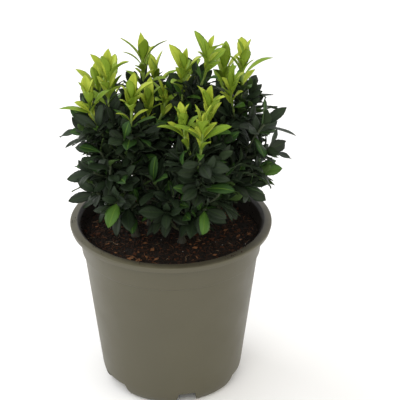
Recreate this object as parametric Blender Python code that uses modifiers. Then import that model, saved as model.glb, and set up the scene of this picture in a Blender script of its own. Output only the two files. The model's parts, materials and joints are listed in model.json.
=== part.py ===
"""A young japanese spindle shrub in its round nursery pot.

The pot stands on z = 0 with its axis on the Z axis. The plant has several rooted stems,
each with a flat cut just above the compost. Boughs leave the stems, and every bough
carries one mass of leafy twigs that keeps to its own space.
"""

import math
import random

import bmesh
import bpy
from mathutils import Matrix, Vector
from mathutils.bvhtree import BVHTree

MM = 0.001
UP = Vector((0.0, 0.0, 1.0))
GAP = 0.3 * MM
SEED = 71

# Pot
POT_HEIGHT = 150 * MM
RIM_RADIUS = 85 * MM
RIM_INNER_RADIUS = 78.6 * MM
RIM_SKIRT = 5.6 * MM
RIM_EDGE = 1.2 * MM
RIM_SHOULDER = 1.4 * MM
RIM_TUCK = 0.5 * MM
RIM_FILLET = 0.8 * MM
RIM_ROOT = 2 * MM
RIM_THICKNESS = 3 * MM
WALL_LOW_Z = 12 * MM
WALL_LOW_RADIUS = 60.2 * MM
WALL_SLOPE = 0.125
COLLAR_Z = 121 * MM
COLLAR_STEP = 1.3 * MM
COLLAR_RISE = 2.5 * MM
COLLAR_EDGE = 0.2 * MM
WALL_THICKNESS = 2.2 * MM
FLOOR_Z = 12.5 * MM
FLOOR_SETBACK = 2 * MM
FLOOR_FILLET = 2 * MM
FOOT_RADIUS = 53.5 * MM
FOOT_CORNER = [(1.6 * MM, 6 * MM), (4.2 * MM, 1.8 * MM)]
FOOT_EDGE = 2.4 * MM
HOLLOW_Z = 9.5 * MM
HOLLOW_OUTER = 57 * MM
HOLLOW_INNER = 43.5 * MM
POT_STEPS = 36
NOTCH_HEIGHT = 11 * MM
NOTCH_INNER = 50 * MM
NOTCH_FLARE = 4.9 * MM
SCREW_MERGE = 0.01 * MM
POT_CREASE = 40

# Notches in the pot's foot: place round the pot in degrees and width in millimetres
NOTCHES = [(-57, 30), (12, 14.6), (74, 30), (131, 14.6), (188, 30), (246, 14.6)]

# Compost
COMPOST_TOP = 135 * MM
COMPOST_LEVELS = [17 * MM, 120 * MM, COMPOST_TOP]
COMPOST_RINGS = 3
COMPOST_STEPS = 28
MOUND_HEIGHT = 0.66 * MM
MOUND_LENGTHS = (11 * MM, 13 * MM)
RIPPLE_HEIGHT = 0.33 * MM
RIPPLE_LENGTHS = (6 * MM, 7.5 * MM)
LEVEL_RADIUS = 17 * MM

# Limbs
STEM_FOOT_RADIUS = 4.2 * MM
STEM_RADIUS = 2.5 * MM
STEM_TOP_RADIUS = 2.1 * MM
STEM_LEAN = 0.16
STEM_UPRIGHT = 0.55
STEM_POINTS = 5
FLARE_DECAY = 9
BOUGH_BUTT_RADIUS = 1.7 * MM
BOUGH_TIP_RADIUS = 1.25 * MM
TWIG_BUTT_RADIUS = 1.7 * MM
TWIG_TOP_RADIUS = 1.1 * MM
SIDE_TWIG_RADIUS = 1.3 * MM
TUBE_STEP = 21 * MM
STEM_SIDES = 8
STEM_CREASE = 60
BOUGH_SIDES = 6
BOUGH_CREASE = 70
TWIG_SIDES = 3
FOOT_BAND = 1.2 * MM
SHOOT_REACH = (14 * MM, 22 * MM)
SHOOT_STEP = 10 * MM
TALL_SHOOTS = 6
LOW_SHOOTS = 5
FEWEST_LEAVES = 2
FIRST_SHOOT = 4 * MM
LAST_SHOOT = 22 * MM
SHOOT_LEAN = 0.7
SHOOT_RISE = 0.15
SHOOT_SHARES = (1.0, 0.7)
SHOOT_TURN_JITTER = 0.3
SHOOT_POINTS = 4
BOUGH_LEAVE_ANGLE = math.radians(44)
LOW_LEAVE_ANGLE = math.radians(30)
FORK_MARGIN = 2.6 * MM
FORK_STEP = 4.5 * MM
FORK_CLEARANCE = 0.2 * MM
SPLIT_FRACTION = 0.31
LEAVE_PULL = 0.3
ARRIVE_PULL = 0.38
TOP_LEAN = 0.35
LOW_TOP_RISE = 0.6
LINE_POINTS = 24
BOUGH_POINTS = 4
LEADER_POINTS = 14
SIDE_START = 0.3
SIDE_LEAN = 0.6
SIDE_LEAVE_PULL = 0.35
SIDE_ARRIVE_PULL = 0.3
SIDE_POINTS = 10

# Leaves
LEAF_THICKNESS = 0.05
LEAF_RIDGE = 0.2
LEAF_WIDEST = 0.56
LEAF_FOLD = 0.03
LEAF_LATE = 0.8
LEAF_FREE = 0.3
RIDGE_ABOVE = 0.6
ROOT_SHARE = 0.3
ROOT_JITTER = 0.04 * MM
YOUNG_ANGLES = [14, 36, 56, 60]
YOUNG_SIZES = [26, 31, 29, 23]
YOUNG_BREADTH = 0.44
OLD_ANGLES = (64, 92)
OLD_SIZES = (26, 32)
OLD_BREADTH = 0.53
LEAF_TRIES = [(0, 1.0), (-14, 0.95), (12, 0.88), (-24, 0.8), (24, 0.75), (-8, 0.68), (0, 0.58)]
SPACE_MARGIN = 0.6 * MM
LIMB_MARGIN = 0.7 * MM
TWIG_CLEARANCE = 1.8 * MM
COMPOST_MARGIN = 4.5 * MM
RIM_REACH = 71 * MM
RIM_MARGIN = 2 * MM
SHOOT_MARGIN = 2 * MM
PAIR_STEPS = [0.0, 4 * MM, 10 * MM, 25 * MM]
PAIR_STEP_OLD = 9.4 * MM
YOUNG_PAIRS = 4
TOP_PAIR_DEPTH = 0.8 * MM
LOW_OPENING = (0.75, 30)
SIZE_SPREAD = (0.92, 1.08)
SPIN_JITTER = 0.14
ANGLE_JITTER = 5
TURN_JITTER = 0.2
STEEPEST_ANGLE = 8
UPRIGHT_CROSS = 0.05
SIDE_VIGOUR = 0.9
SHOOT_VIGOUR = 0.88
LEADER_BARE = 4 * MM
SIDE_BARE = 10 * MM
SHOOT_BARE = 8 * MM

# Joining
CAP_WELD = 0.01 * MM
WELD = 0.0002 * MM
LARGEST_SCRAP = 24
SMALLEST_FACE = 1e-12
FUSE_TRIES = 9

# Each stem: foot x, foot y and fork height above the compost, in millimetres
STEMS = {
    "left": (-30, -3, 24),
    "front": (9, -15, 20),
    "back_left": (-17, 17, 26),
    "back": (5, 27, 26),
    "right": (26, 7, 24),
}

# Each mass: its stem, then x, y and height above the compost of its tips, in millimetres.
# The first tip ends the leading twig and any other tip ends a side twig.
MASSES = {
    "left": ("left", [(-50, 0, 142), (-65, -6, 123)]),
    "mid_left": ("left", [(-31, -18, 130)]),
    "low_left": ("left", [(-57, -18, 86), (-49, -30, 79)]),
    "low_front_left": ("left", [(-41, -32, 69)]),
    "low_side_left": ("left", [(-58, 8, 66)]),
    "tall_back_left": ("back_left", [(-22, 46, 137)]),
    "centre_left": ("back_left", [(-18, 9, 113), (-4, 14, 118)]),
    "far_left": ("back_left", [(-60, 34, 118)]),
    "back_corner": ("back_left", [(-50, 62, 110)]),
    "low_back_left": ("back_left", [(-30, 58, 56)]),
    "front": ("front", [(26, -38, 113), (11, -29, 112)]),
    "low_front": ("front", [(-14, -32, 65), (2, -38, 56)]),
    "low_right": ("front", [(56, -16, 74), (44, -23, 67)]),
    "low_front_right": ("front", [(26, -40, 65), (40, -34, 57)]),
    "centre": ("back", [(11, 16, 139), (31, 14, 153)]),
    "back_mid": ("back", [(-12, 66, 112)]),
    "back_tip": ("back", [(20, 74, 94)]),
    "low_back": ("back", [(-6, 60, 44), (9, 64, 36)]),
    "mid_right": ("right", [(31, -15, 118)]),
    "right": ("right", [(61, 31, 140), (50, 15, 127)]),
    "side_right": ("right", [(77, -4, 103)]),
    "low_side_right": ("right", [(63, 29, 58)]),
    "back_right": ("right", [(46, 60, 122)]),
}
CLIPPED = [name for name in MASSES if name.startswith("low")] + ["side_right", "back_tip"]


def clear_scene():
    """Remove whatever the open file holds."""
    for item in list(bpy.data.objects):
        bpy.data.objects.remove(item, do_unlink=True)


def new_collection(name):
    """Add a collection under the scene's own one."""
    collection = bpy.data.collections.new(name)
    bpy.context.scene.collection.children.link(collection)
    return collection


def make_material(name, colour, roughness):
    """One Principled material with a plain colour."""
    material = bpy.data.materials.new(name)
    material.use_nodes = True
    shader = material.node_tree.nodes["Principled BSDF"]
    shader.inputs["Base Color"].default_value = (*colour, 1.0)
    shader.inputs["Roughness"].default_value = roughness
    shader.inputs["Metallic"].default_value = 0.0
    return material


def add_object(name, mesh, collection, material=None):
    """Put a mesh in the scene under a plain name."""
    item = bpy.data.objects.new(name, mesh)
    collection.objects.link(item)
    if material is not None:
        item.data.materials.clear()
        item.data.materials.append(material)
    return item


def smooth(item, angle):
    """Shade round pieces smooth and keep their real edges."""
    item.data.shade_smooth()
    item.data.set_sharp_from_angle(angle=math.radians(angle))


def wall_radius(z):
    """Outer radius of the pot's wall at a height, with the wider collar at the top."""
    radius = WALL_LOW_RADIUS + WALL_SLOPE * (z - WALL_LOW_Z)
    if z > COLLAR_Z:
        radius += COLLAR_STEP
    return radius


def pot_profile():
    """Half section of the pot as (radius, z), from the rim down the outside and back up."""
    skirt_z = POT_HEIGHT - RIM_SKIRT
    root_z = skirt_z - RIM_ROOT
    collar_top = COLLAR_Z + COLLAR_RISE
    collar_foot = COLLAR_Z - COLLAR_EDGE
    outside = [
        (RIM_RADIUS - RIM_EDGE, POT_HEIGHT),
        (RIM_RADIUS, POT_HEIGHT - RIM_SHOULDER),
        (RIM_RADIUS - RIM_TUCK, skirt_z),
        (wall_radius(skirt_z) + RIM_FILLET, skirt_z + RIM_FILLET),
        (wall_radius(root_z), root_z),
        (wall_radius(collar_top), collar_top),
        (wall_radius(collar_foot), collar_foot),
        (wall_radius(WALL_LOW_Z), WALL_LOW_Z),
    ]
    outside += [(WALL_LOW_RADIUS - inset, z) for inset, z in FOOT_CORNER]
    outside += [
        (FOOT_RADIUS, 0.0),
        (FOOT_RADIUS - FOOT_EDGE, 0.0),
        (HOLLOW_OUTER, HOLLOW_Z),
        (HOLLOW_INNER, HOLLOW_Z),
        (HOLLOW_INNER, 0.0),
        (0.0, 0.0),
    ]
    floor_top = FLOOR_Z + FLOOR_FILLET
    inside = [
        (0.0, FLOOR_Z),
        (inner_floor_radius(), FLOOR_Z),
        (wall_radius(floor_top) - WALL_THICKNESS, floor_top),
        (wall_radius(collar_foot) - WALL_THICKNESS, collar_foot),
        (wall_radius(collar_top) - WALL_THICKNESS, collar_top),
        (inner_rim_radius(), POT_HEIGHT - RIM_THICKNESS),
        (RIM_INNER_RADIUS, POT_HEIGHT),
    ]
    return outside + inside


def inner_rim_radius():
    """Radius of the pot's inner wall just under the rim."""
    return wall_radius(POT_HEIGHT - RIM_THICKNESS) - WALL_THICKNESS


def inner_floor_radius():
    """Radius of the pot's floor inside, where its rounding to the wall starts."""
    return wall_radius(FLOOR_Z) - WALL_THICKNESS - FLOOR_SETBACK


def screw_object(name, profile, steps, collection, closed):
    """Turn a profile of (radius, z) points once round the Z axis."""
    mesh = bpy.data.meshes.new(name)
    points = [(radius, 0.0, z) for radius, z in profile]
    edges = [(k, k + 1) for k in range(len(points) - 1)]
    if closed:
        edges.append((len(points) - 1, 0))
    mesh.from_pydata(points, edges, [])
    item = add_object(name, mesh, collection)
    screw = item.modifiers.new("Turn", "SCREW")
    screw.axis = "Z"
    screw.steps = steps
    screw.render_steps = steps
    screw.use_merge_vertices = True
    screw.merge_threshold = SCREW_MERGE
    return item


def build_pot(parts, cutters):
    """The turned pot with wide and narrow notches cut through the skirt round its foot."""
    pot = screw_object("pot", pot_profile(), POT_STEPS, parts, True)
    pot.data.materials.append(make_material("pot plastic", (0.115, 0.112, 0.082), 0.5))
    for number, (place, width) in enumerate(NOTCHES):
        azimuth = math.radians(place)
        bm = bmesh.new()
        bmesh.ops.create_cube(bm, size=1.0)
        depth = WALL_LOW_RADIUS - NOTCH_INNER
        for vert in bm.verts:
            top = vert.co.z > 0
            vert.co.x *= width * MM + (0.0 if top else 2 * NOTCH_FLARE)
            vert.co.y *= 2 * depth
            vert.co.z = NOTCH_HEIGHT if top else -NOTCH_HEIGHT
        mesh = bpy.data.meshes.new("notch")
        bm.to_mesh(mesh)
        bm.free()
        notch = add_object(f"notch_{number + 1}", mesh, cutters)
        middle = NOTCH_INNER + depth
        notch.location = (middle * math.sin(azimuth), -middle * math.cos(azimuth), 0.0)
        notch.rotation_euler = (0.0, 0.0, azimuth)
        notch.hide_render = True
        notch.display_type = "WIRE"
    cut = pot.modifiers.new("Notches", "BOOLEAN")
    cut.operation = "DIFFERENCE"
    cut.operand_type = "COLLECTION"
    cut.collection = cutters
    cut.solver = "EXACT"
    smooth(pot, POT_CREASE)
    return pot


def compost_height(x, y):
    """Height of the loose compost surface, a few soft mounds above its mean level."""
    mound = math.sin(x / MOUND_LENGTHS[0] + 1.3) * math.cos(y / MOUND_LENGTHS[1] - 0.4)
    ripple = math.sin((x + y) / RIPPLE_LENGTHS[0]) * math.sin((x - y) / RIPPLE_LENGTHS[1])
    return COMPOST_TOP + MOUND_HEIGHT * mound + RIPPLE_HEIGHT * ripple


def build_compost(parts):
    """A filled plug inside the pot with an uneven top, flat round each stem's foot."""
    floor_z = FLOOR_Z + GAP
    low_radius = inner_floor_radius() - 2 * GAP
    radii = [wall_radius(z) - WALL_THICKNESS - 2 * GAP for z in COMPOST_LEVELS]
    bm = bmesh.new()
    bmesh.ops.create_cone(bm, cap_ends=True, segments=COMPOST_STEPS, depth=2.0,
                          radius1=low_radius, radius2=radii[0])
    for vert in bm.verts:
        vert.co.z = COMPOST_LEVELS[0] if vert.co.z > 0 else floor_z
    face = max(bm.faces, key=lambda item: item.calc_center_median().z)
    for z, radius in zip(COMPOST_LEVELS[1:], radii[1:]):
        face = bmesh.ops.extrude_discrete_faces(bm, faces=[face])["faces"][0]
        for vert in face.verts:
            side = Vector((vert.co.x, vert.co.y, 0.0)).normalized()
            vert.co = side * radius + UP * z
    for ring_number in range(1, COMPOST_RINGS + 1):
        share = 1.0 - ring_number / (COMPOST_RINGS + 1)
        face = bmesh.ops.extrude_discrete_faces(bm, faces=[face])["faces"][0]
        for vert in face.verts:
            side = Vector((vert.co.x, vert.co.y, 0.0)).normalized()
            spot = side * radii[-1] * share
            vert.co = Vector((spot.x, spot.y, compost_height(spot.x, spot.y)))
    bmesh.ops.poke(bm, faces=[face])
    for vert in bm.verts:
        if vert.co.z < COMPOST_TOP - LEVEL_RADIUS:
            continue
        for x, y, _ in STEMS.values():
            if math.hypot(vert.co.x - x * MM, vert.co.y - y * MM) < LEVEL_RADIUS:
                vert.co.z = COMPOST_TOP
    bmesh.ops.recalc_face_normals(bm, faces=bm.faces[:])
    mesh = bpy.data.meshes.new("compost")
    bm.to_mesh(mesh)
    bm.free()
    material = make_material("compost fibre", (0.022, 0.013, 0.009), 0.95)
    return add_object("compost", mesh, parts, material)


def bezier(points, t):
    """A point of the Bezier curve through its control points at t from 0 to 1."""
    row = list(points)
    while len(row) > 1:
        row = [a.lerp(b, t) for a, b in zip(row, row[1:])]
    return row[0]


def curve_points(controls, count):
    """Evenly timed points along a Bezier curve."""
    return [bezier(controls, k / (count - 1)) for k in range(count)]


def path_lengths(path):
    """Running length along a path, one value for each of its points."""
    total = [0.0]
    for a, b in zip(path, path[1:]):
        total.append(total[-1] + (b - a).length)
    return total


def point_at(path, distance):
    """Point and direction at a distance along a path."""
    total = path_lengths(path)
    distance = min(max(distance, 0.0), total[-1])
    for k in range(len(path) - 1):
        if distance <= total[k + 1] or k == len(path) - 2:
            step = path[k + 1] - path[k]
            share = (distance - total[k]) / max(total[k + 1] - total[k], 1e-9)
            return path[k] + step * share, step.normalized()


def cut_path(path, start, end, count):
    """Evenly spaced points of a path between two distances."""
    return [point_at(path, start + (end - start) * k / (count - 1))[0] for k in range(count)]


def segment_distance(point, a, b):
    """Distance from a point to a straight segment."""
    along = b - a
    share = (point - a).dot(along) / max(along.length_squared, 1e-18)
    return (point - a - along * min(max(share, 0.0), 1.0)).length


def path_distance(point, path):
    """Distance from a point to a path."""
    return min(segment_distance(point, a, b) for a, b in zip(path, path[1:]))


def stem_plan():
    """Centre line of every stem, from its flat cut to its fork, leaning to its boughs."""
    plan = {}
    for name, (x, y, height) in STEMS.items():
        tips = [tops[0] for stem, tops in MASSES.values() if stem == name]
        mean = Vector((sum(t[0] for t in tips), sum(t[1] for t in tips), 0.0)) / len(tips)
        lean = (mean - Vector((x, y, 0.0))) * STEM_LEAN
        foot = Vector((x * MM, y * MM, COMPOST_TOP + GAP))
        top = foot + Vector((lean.x * MM, lean.y * MM, height * MM))
        middle = foot + UP * height * MM * STEM_UPRIGHT
        plan[name] = curve_points([foot, middle, top], STEM_POINTS)
    return plan


def limb_plan(stems):
    """Bough and leading twig of every mass, on one smooth line from its stem's fork."""
    plan = {}
    for stem_name, stem in stems.items():
        fork, heading = point_at(stem, path_lengths(stem)[-1])
        group = [name for name, (owner, _) in MASSES.items() if owner == stem_name]

        def spread(name):
            x, y, _ = MASSES[name][1][0]
            return math.hypot(x * MM - fork.x, y * MM - fork.y)

        first = min(group, key=spread)
        group.sort(key=lambda name: (name != first, -MASSES[name][1][0][2]))
        for order, name in enumerate(group):
            x, y, height = MASSES[name][1][0]
            top = Vector((x * MM, y * MM, COMPOST_TOP + height * MM))
            if order == 0:
                start = fork + heading * GAP
                leave = heading.copy()
            else:
                below = path_lengths(stem)[-1] - FORK_MARGIN - FORK_STEP * (order - 1)
                joint, _ = point_at(stem, below)
                side = Vector((top.x - joint.x, top.y - joint.y, 0.0)).normalized()
                angle = LOW_LEAVE_ANGLE if name in CLIPPED else BOUGH_LEAVE_ANGLE
                leave = side * math.cos(angle) + UP * math.sin(angle)
                reach = STEM_TOP_RADIUS + FORK_CLEARANCE + GAP + BOUGH_BUTT_RADIUS * math.sin(angle)
                start = joint + side * reach
            span = (top - start).length
            out = Vector((top.x - start.x, top.y - start.y, 0.0))
            arrive = (UP * span + out * TOP_LEAN).normalized()
            if name in CLIPPED:
                arrive = (UP * span * LOW_TOP_RISE + out).normalized()
            leaving = start + leave * span * LEAVE_PULL
            arriving = top - arrive * span * ARRIVE_PULL
            line = curve_points([start, leaving, arriving, top], LINE_POINTS)
            total = path_lengths(line)[-1]
            split = total * SPLIT_FRACTION
            bough = cut_path(line, 0.0, split, BOUGH_POINTS)
            leader = cut_path(line, split + GAP, total, LEADER_POINTS)
            plan[name] = {"bough": bough, "leader": leader, "stem": stem_name}
    return plan


def side_plan(limbs):
    """Side twigs that end in the further tips a mass is given."""
    for name, limb in limbs.items():
        limb["sides"] = []
        leader = limb["leader"]
        for x, y, height in MASSES[name][1][1:]:
            tip = Vector((x * MM, y * MM, COMPOST_TOP + height * MM))
            start, heading = point_at(leader, path_lengths(leader)[-1] * SIDE_START)
            span = (tip - start).length
            out = (tip - start).normalized()
            leave = (heading * SIDE_LEAN + out).normalized()
            leaving = start + leave * span * SIDE_LEAVE_PULL
            arriving = tip - UP * span * SIDE_ARRIVE_PULL
            limb["sides"].append(curve_points([start, leaving, arriving, tip], SIDE_POINTS))


class Space:
    """What belongs to one mass: the room nearer its own lines than any other's."""

    def __init__(self, name, limbs, stems):
        self.own = [limbs[name]["leader"]] + limbs[name]["sides"]
        self.twigs = []
        self.corners = []
        self.blades = []
        self.others = []
        self.limbs = []
        for other, limb in limbs.items():
            if other != name:
                self.others += [limb["leader"]] + limb["sides"]
            self.limbs.append((limb["bough"], BOUGH_BUTT_RADIUS))
        for stem in stems.values():
            self.limbs.append((stem, STEM_RADIUS))

    def holds(self, points, margin=SPACE_MARGIN):
        """True where every point keeps to the space and off limbs, pot and compost."""
        for point in points:
            if point.z < COMPOST_TOP + COMPOST_MARGIN:
                return False
            if math.hypot(point.x, point.y) > RIM_REACH and point.z < POT_HEIGHT + RIM_MARGIN:
                return False
            for path in self.twigs:
                if path_distance(point, path) < TWIG_CLEARANCE:
                    return False
            near = min(path_distance(point, path) for path in self.own)
            for path in self.others:
                if path_distance(point, path) < near + margin:
                    return False
            for path, thickness in self.limbs:
                if path_distance(point, path) < thickness + LIMB_MARGIN:
                    return False
        return True

    def crosses(self, spot, points):
        """True where a leaf would cut through one that this mass already has."""
        start = spot.lerp(points["middle"], LEAF_FREE)
        corners = [start, points["left"], points["tip"], points["right"]]
        if self.blades:
            new = BVHTree.FromPolygons(corners, [(0, 1, 2), (0, 2, 3)])
            if BVHTree.FromPolygons(self.corners, self.blades).overlap(new):
                return True
        first = len(self.corners)
        self.corners += corners
        self.blades += [(first, first + 1, first + 2), (first, first + 2, first + 3)]
        return False


def leaf_points(base, along, face, length, width):
    """Named points of a leaf whose two halves fold up a little from its midrib."""
    side = along.cross(face).normalized()
    widest = base + along * length * LEAF_WIDEST + face * length * LEAF_FOLD
    return {
        "ridge": base + along * length * LEAF_RIDGE,
        "left": widest + side * width / 2,
        "right": widest - side * width / 2,
        "middle": base + along * length * LEAF_WIDEST,
        "late": base + along * length * LEAF_LATE,
        "tip": base + along * length,
    }


def twig_leaves(twig, space, rng, clipped, vigour, bare):
    """Opposite pairs down a twig from its tip to its bare foot, each a quarter turn on."""
    path, butt, top = twig
    leaves = []
    length = path_lengths(path)[-1]
    turn = rng.uniform(0.0, math.pi)
    down = 0.0
    pair = 0
    while down < length - bare:
        spot, heading = point_at(path, length - max(down, TOP_PAIR_DEPTH))
        flat = flat_side(heading)
        young = pair < YOUNG_PAIRS
        angle = YOUNG_ANGLES[pair] if young else rng.uniform(*OLD_ANGLES)
        size = YOUNG_SIZES[pair] if young else rng.uniform(*OLD_SIZES)
        if clipped:
            angle = angle * LOW_OPENING[0] + LOW_OPENING[1]
        size *= vigour * rng.uniform(*SIZE_SPREAD) * MM
        broad = OLD_BREADTH if clipped or not young else YOUNG_BREADTH
        root = (top + (butt - top) * down / length) * ROOT_SHARE
        for half in (0, 1):
            spin = turn + math.pi * half + rng.uniform(-SPIN_JITTER, SPIN_JITTER)
            out = Matrix.Rotation(spin, 3, heading) @ flat
            lean = angle + rng.uniform(-ANGLE_JITTER, ANGLE_JITTER)
            leaf = fit_leaf(spot, heading, out, lean, size, broad, space)
            if leaf is not None:
                leaves.append((*leaf, root))
        turn += math.pi / 2 + rng.uniform(-TURN_JITTER, TURN_JITTER)
        pair += 1
        down = PAIR_STEPS[pair] * vigour if pair < YOUNG_PAIRS else down + PAIR_STEP_OLD
    return leaves


def flat_side(heading):
    """A level direction square to a twig's heading."""
    flat = heading.cross(UP)
    if flat.length < UPRIGHT_CROSS:
        return Vector((1.0, 0.0, 0.0))
    return flat.normalized()


def fit_leaf(spot, heading, out, angle, size, broad, space):
    """Try a leaf as it grows, then turned and smaller, until it keeps to the space."""
    for turned, smaller in LEAF_TRIES:
        lean = math.radians(max(angle + turned, STEEPEST_ANGLE))
        along = (heading * math.cos(lean) + out * math.sin(lean)).normalized()
        face = (heading - along * heading.dot(along)).normalized()
        length = size * smaller
        points = leaf_points(spot, along, face, length, length * broad)
        checks = [points[key] for key in ("left", "right", "middle", "late", "tip")]
        if space.holds(checks) and not space.crosses(spot, points):
            return spot, along, face, length, length * broad
    return None


def side_shoots(leader, space, rng, most):
    """Short twigs from the leaf axils of the older part of a leader, the lowest first."""
    shoots = []
    length = path_lengths(leader)[-1]
    turn = rng.uniform(0.0, math.pi)
    distance = FIRST_SHOOT
    while distance < length - LAST_SHOOT and len(shoots) < most:
        spot, heading = point_at(leader, distance)
        flat = flat_side(heading)
        for half in (0, 1):
            out = Matrix.Rotation(turn + math.pi * half, 3, heading) @ flat
            leave = (heading * SHOOT_LEAN + out).normalized()
            longest = rng.uniform(*SHOOT_REACH)
            for share in SHOOT_SHARES:
                reach = longest * share
                tip = spot + leave * reach + UP * reach * SHOOT_RISE
                path = curve_points([spot, spot + leave * reach * 0.5, tip], SHOOT_POINTS)
                if space.holds(path[2:], SHOOT_MARGIN) and len(shoots) < most:
                    shoots.append(path)
                    break
        turn += math.pi / 2 + rng.uniform(-SHOOT_TURN_JITTER, SHOOT_TURN_JITTER)
        distance += SHOOT_STEP
    return shoots


def grow_mass(name, number, limbs, stems):
    """Twigs and leaves of one mass, worked out from its leader and its own seed."""
    rng = random.Random(SEED * 100 + number)
    space = Space(name, limbs, stems)
    clipped = name in CLIPPED
    limb = limbs[name]
    twigs = [(limb["leader"], TWIG_BUTT_RADIUS, TWIG_TOP_RADIUS)]
    for path in limb["sides"]:
        twigs.append((path, SIDE_TWIG_RADIUS, TWIG_TOP_RADIUS))
    space.twigs = [twig[0] for twig in twigs]
    leaves = twig_leaves(twigs[0], space, rng, clipped, 1.0, LEADER_BARE)
    for side in twigs[1:]:
        leaves += twig_leaves(side, space, rng, clipped, SIDE_VIGOUR, SIDE_BARE)
    most = LOW_SHOOTS if clipped else TALL_SHOOTS
    for path in side_shoots(limb["leader"], space, rng, most):
        shoot = (path, SIDE_TWIG_RADIUS, TWIG_TOP_RADIUS)
        space.twigs.append(path)
        more = twig_leaves(shoot, space, rng, True, SHOOT_VIGOUR, SHOOT_BARE)
        if len(more) < FEWEST_LEAVES:
            space.twigs.pop()
            continue
        twigs.append(shoot)
        leaves += more
    return twigs, leaves


def tube_curve(name, path, radii, sides, collection):
    """A tapering tube with filled caps: a triangle swept where it has three sides."""
    curve = bpy.data.curves.new(name, "CURVE")
    curve.dimensions = "3D"
    curve.use_fill_caps = True
    if sides == TWIG_SIDES:
        curve.bevel_mode = "OBJECT"
        curve.bevel_object = bpy.data.objects["twig section"]
    else:
        curve.bevel_depth = 1.0
        curve.bevel_resolution = (sides - 4) // 2
    spline = curve.splines.new("POLY")
    spline.points.add(len(path) - 1)
    for point, spot, radius in zip(spline.points, path, radii):
        point.co = (*spot, 1.0)
        point.radius = radius
    item = bpy.data.objects.new(name, curve)
    collection.objects.link(item)
    return item


def as_mesh(item, collection):
    """Replace a curve object by a closed mesh of the same name."""
    depsgraph = bpy.context.evaluated_depsgraph_get()
    mesh = bpy.data.meshes.new_from_object(item.evaluated_get(depsgraph))
    name = item.name
    place = item.matrix_world.copy()
    bpy.data.objects.remove(item, do_unlink=True)
    bm = bmesh.new()
    bm.from_mesh(mesh)
    bmesh.ops.remove_doubles(bm, verts=bm.verts[:], dist=CAP_WELD)
    bmesh.ops.recalc_face_normals(bm, faces=bm.faces[:])
    bmesh.ops.triangulate(bm, faces=[face for face in bm.faces if len(face.verts) > 4])
    bm.to_mesh(mesh)
    bm.free()
    new = bpy.data.objects.new(name, mesh)
    new.matrix_world = place
    collection.objects.link(new)
    return new


def twig_section(collection):
    """The three-sided section that every twig is swept from."""
    curve = bpy.data.curves.new("twig section", "CURVE")
    curve.dimensions = "2D"
    spline = curve.splines.new("POLY")
    spline.points.add(TWIG_SIDES - 1)
    for k, point in enumerate(spline.points):
        angle = 2 * math.pi * k / TWIG_SIDES
        point.co = (math.cos(angle), math.sin(angle), 0.0, 1.0)
    spline.use_cyclic_u = True
    item = bpy.data.objects.new("twig section", curve)
    item.hide_render = True
    item.display_type = "WIRE"
    collection.objects.link(item)
    return item


def leaf_mesh(leaf, shift):
    """An eight-faced leaf: a four-sided, two-ring sphere pulled to the leaf's points."""
    base, along, face, length, width, root = leaf
    points = leaf_points(base, along, face, length, width)
    thick = face * length * LEAF_THICKNESS
    bm = bmesh.new()
    bmesh.ops.create_uvsphere(bm, u_segments=4, v_segments=2, radius=1.0)
    for vert in bm.verts:
        if vert.co.z > 0.5:
            vert.co = points["tip"]
        elif vert.co.z < -0.5:
            vert.co = base - along * root + shift
        elif vert.co.x > 0.5:
            vert.co = points["left"]
        elif vert.co.x < -0.5:
            vert.co = points["right"]
        elif vert.co.y > 0.5:
            vert.co = points["ridge"] + thick * RIDGE_ABOVE
        else:
            vert.co = points["ridge"] - thick * (1 - RIDGE_ABOVE)
    bmesh.ops.recalc_face_normals(bm, faces=bm.faces[:])
    mesh = bpy.data.meshes.new("leaf")
    bm.to_mesh(mesh)
    bm.free()
    return mesh


def linked_shells(bm):
    """Groups of faces that hang together, the largest last."""
    seen = set()
    shells = []
    for start in bm.faces:
        if start in seen:
            continue
        shell = []
        queue = [start]
        seen.add(start)
        while queue:
            item = queue.pop()
            shell.append(item)
            for edge in item.edges:
                for other in edge.link_faces:
                    if other not in seen:
                        seen.add(other)
                        queue.append(other)
        shells.append(shell)
    return sorted(shells, key=len)


def keep_main_body(mesh):
    """Fill hollows that fusing sealed, drop loose scraps, and list the spots still unsound."""
    bm = bmesh.new()
    bm.from_mesh(mesh)
    bmesh.ops.triangulate(bm, faces=bm.faces[:])
    bmesh.ops.remove_doubles(bm, verts=bm.verts[:], dist=WELD)
    bmesh.ops.dissolve_degenerate(bm, dist=WELD, edges=bm.edges[:])
    scraps = linked_shells(bm)[:-1]
    faults = [shell[0].calc_center_median() for shell in scraps if len(shell) > LARGEST_SCRAP]
    for shell in scraps:
        bmesh.ops.delete(bm, geom=shell, context="FACES")
    faults += [edge.verts[0].co.copy() for edge in bm.edges if len(edge.link_faces) != 2]
    faults += [face.calc_center_median() for face in bm.faces if face.calc_area() < SMALLEST_FACE]
    if not faults:
        bm.to_mesh(mesh)
    bm.free()
    return faults


def twig_tubes(name, twigs, collection):
    """Three-sided tubes for the twigs of a mass, the leader first."""
    tubes = []
    for number, (path, butt, top) in enumerate(twigs):
        length = path_lengths(path)[-1]
        count = max(2, round(length / TUBE_STEP) + 1)
        points = cut_path(path, 0.0, length, count)
        radii = [butt + (top - butt) * k / (count - 1) for k in range(count)]
        tube = tube_curve(f"{name} twig {number}", points, radii, TWIG_SIDES, collection)
        tubes.append(as_mesh(tube, collection))
    return tubes


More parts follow.
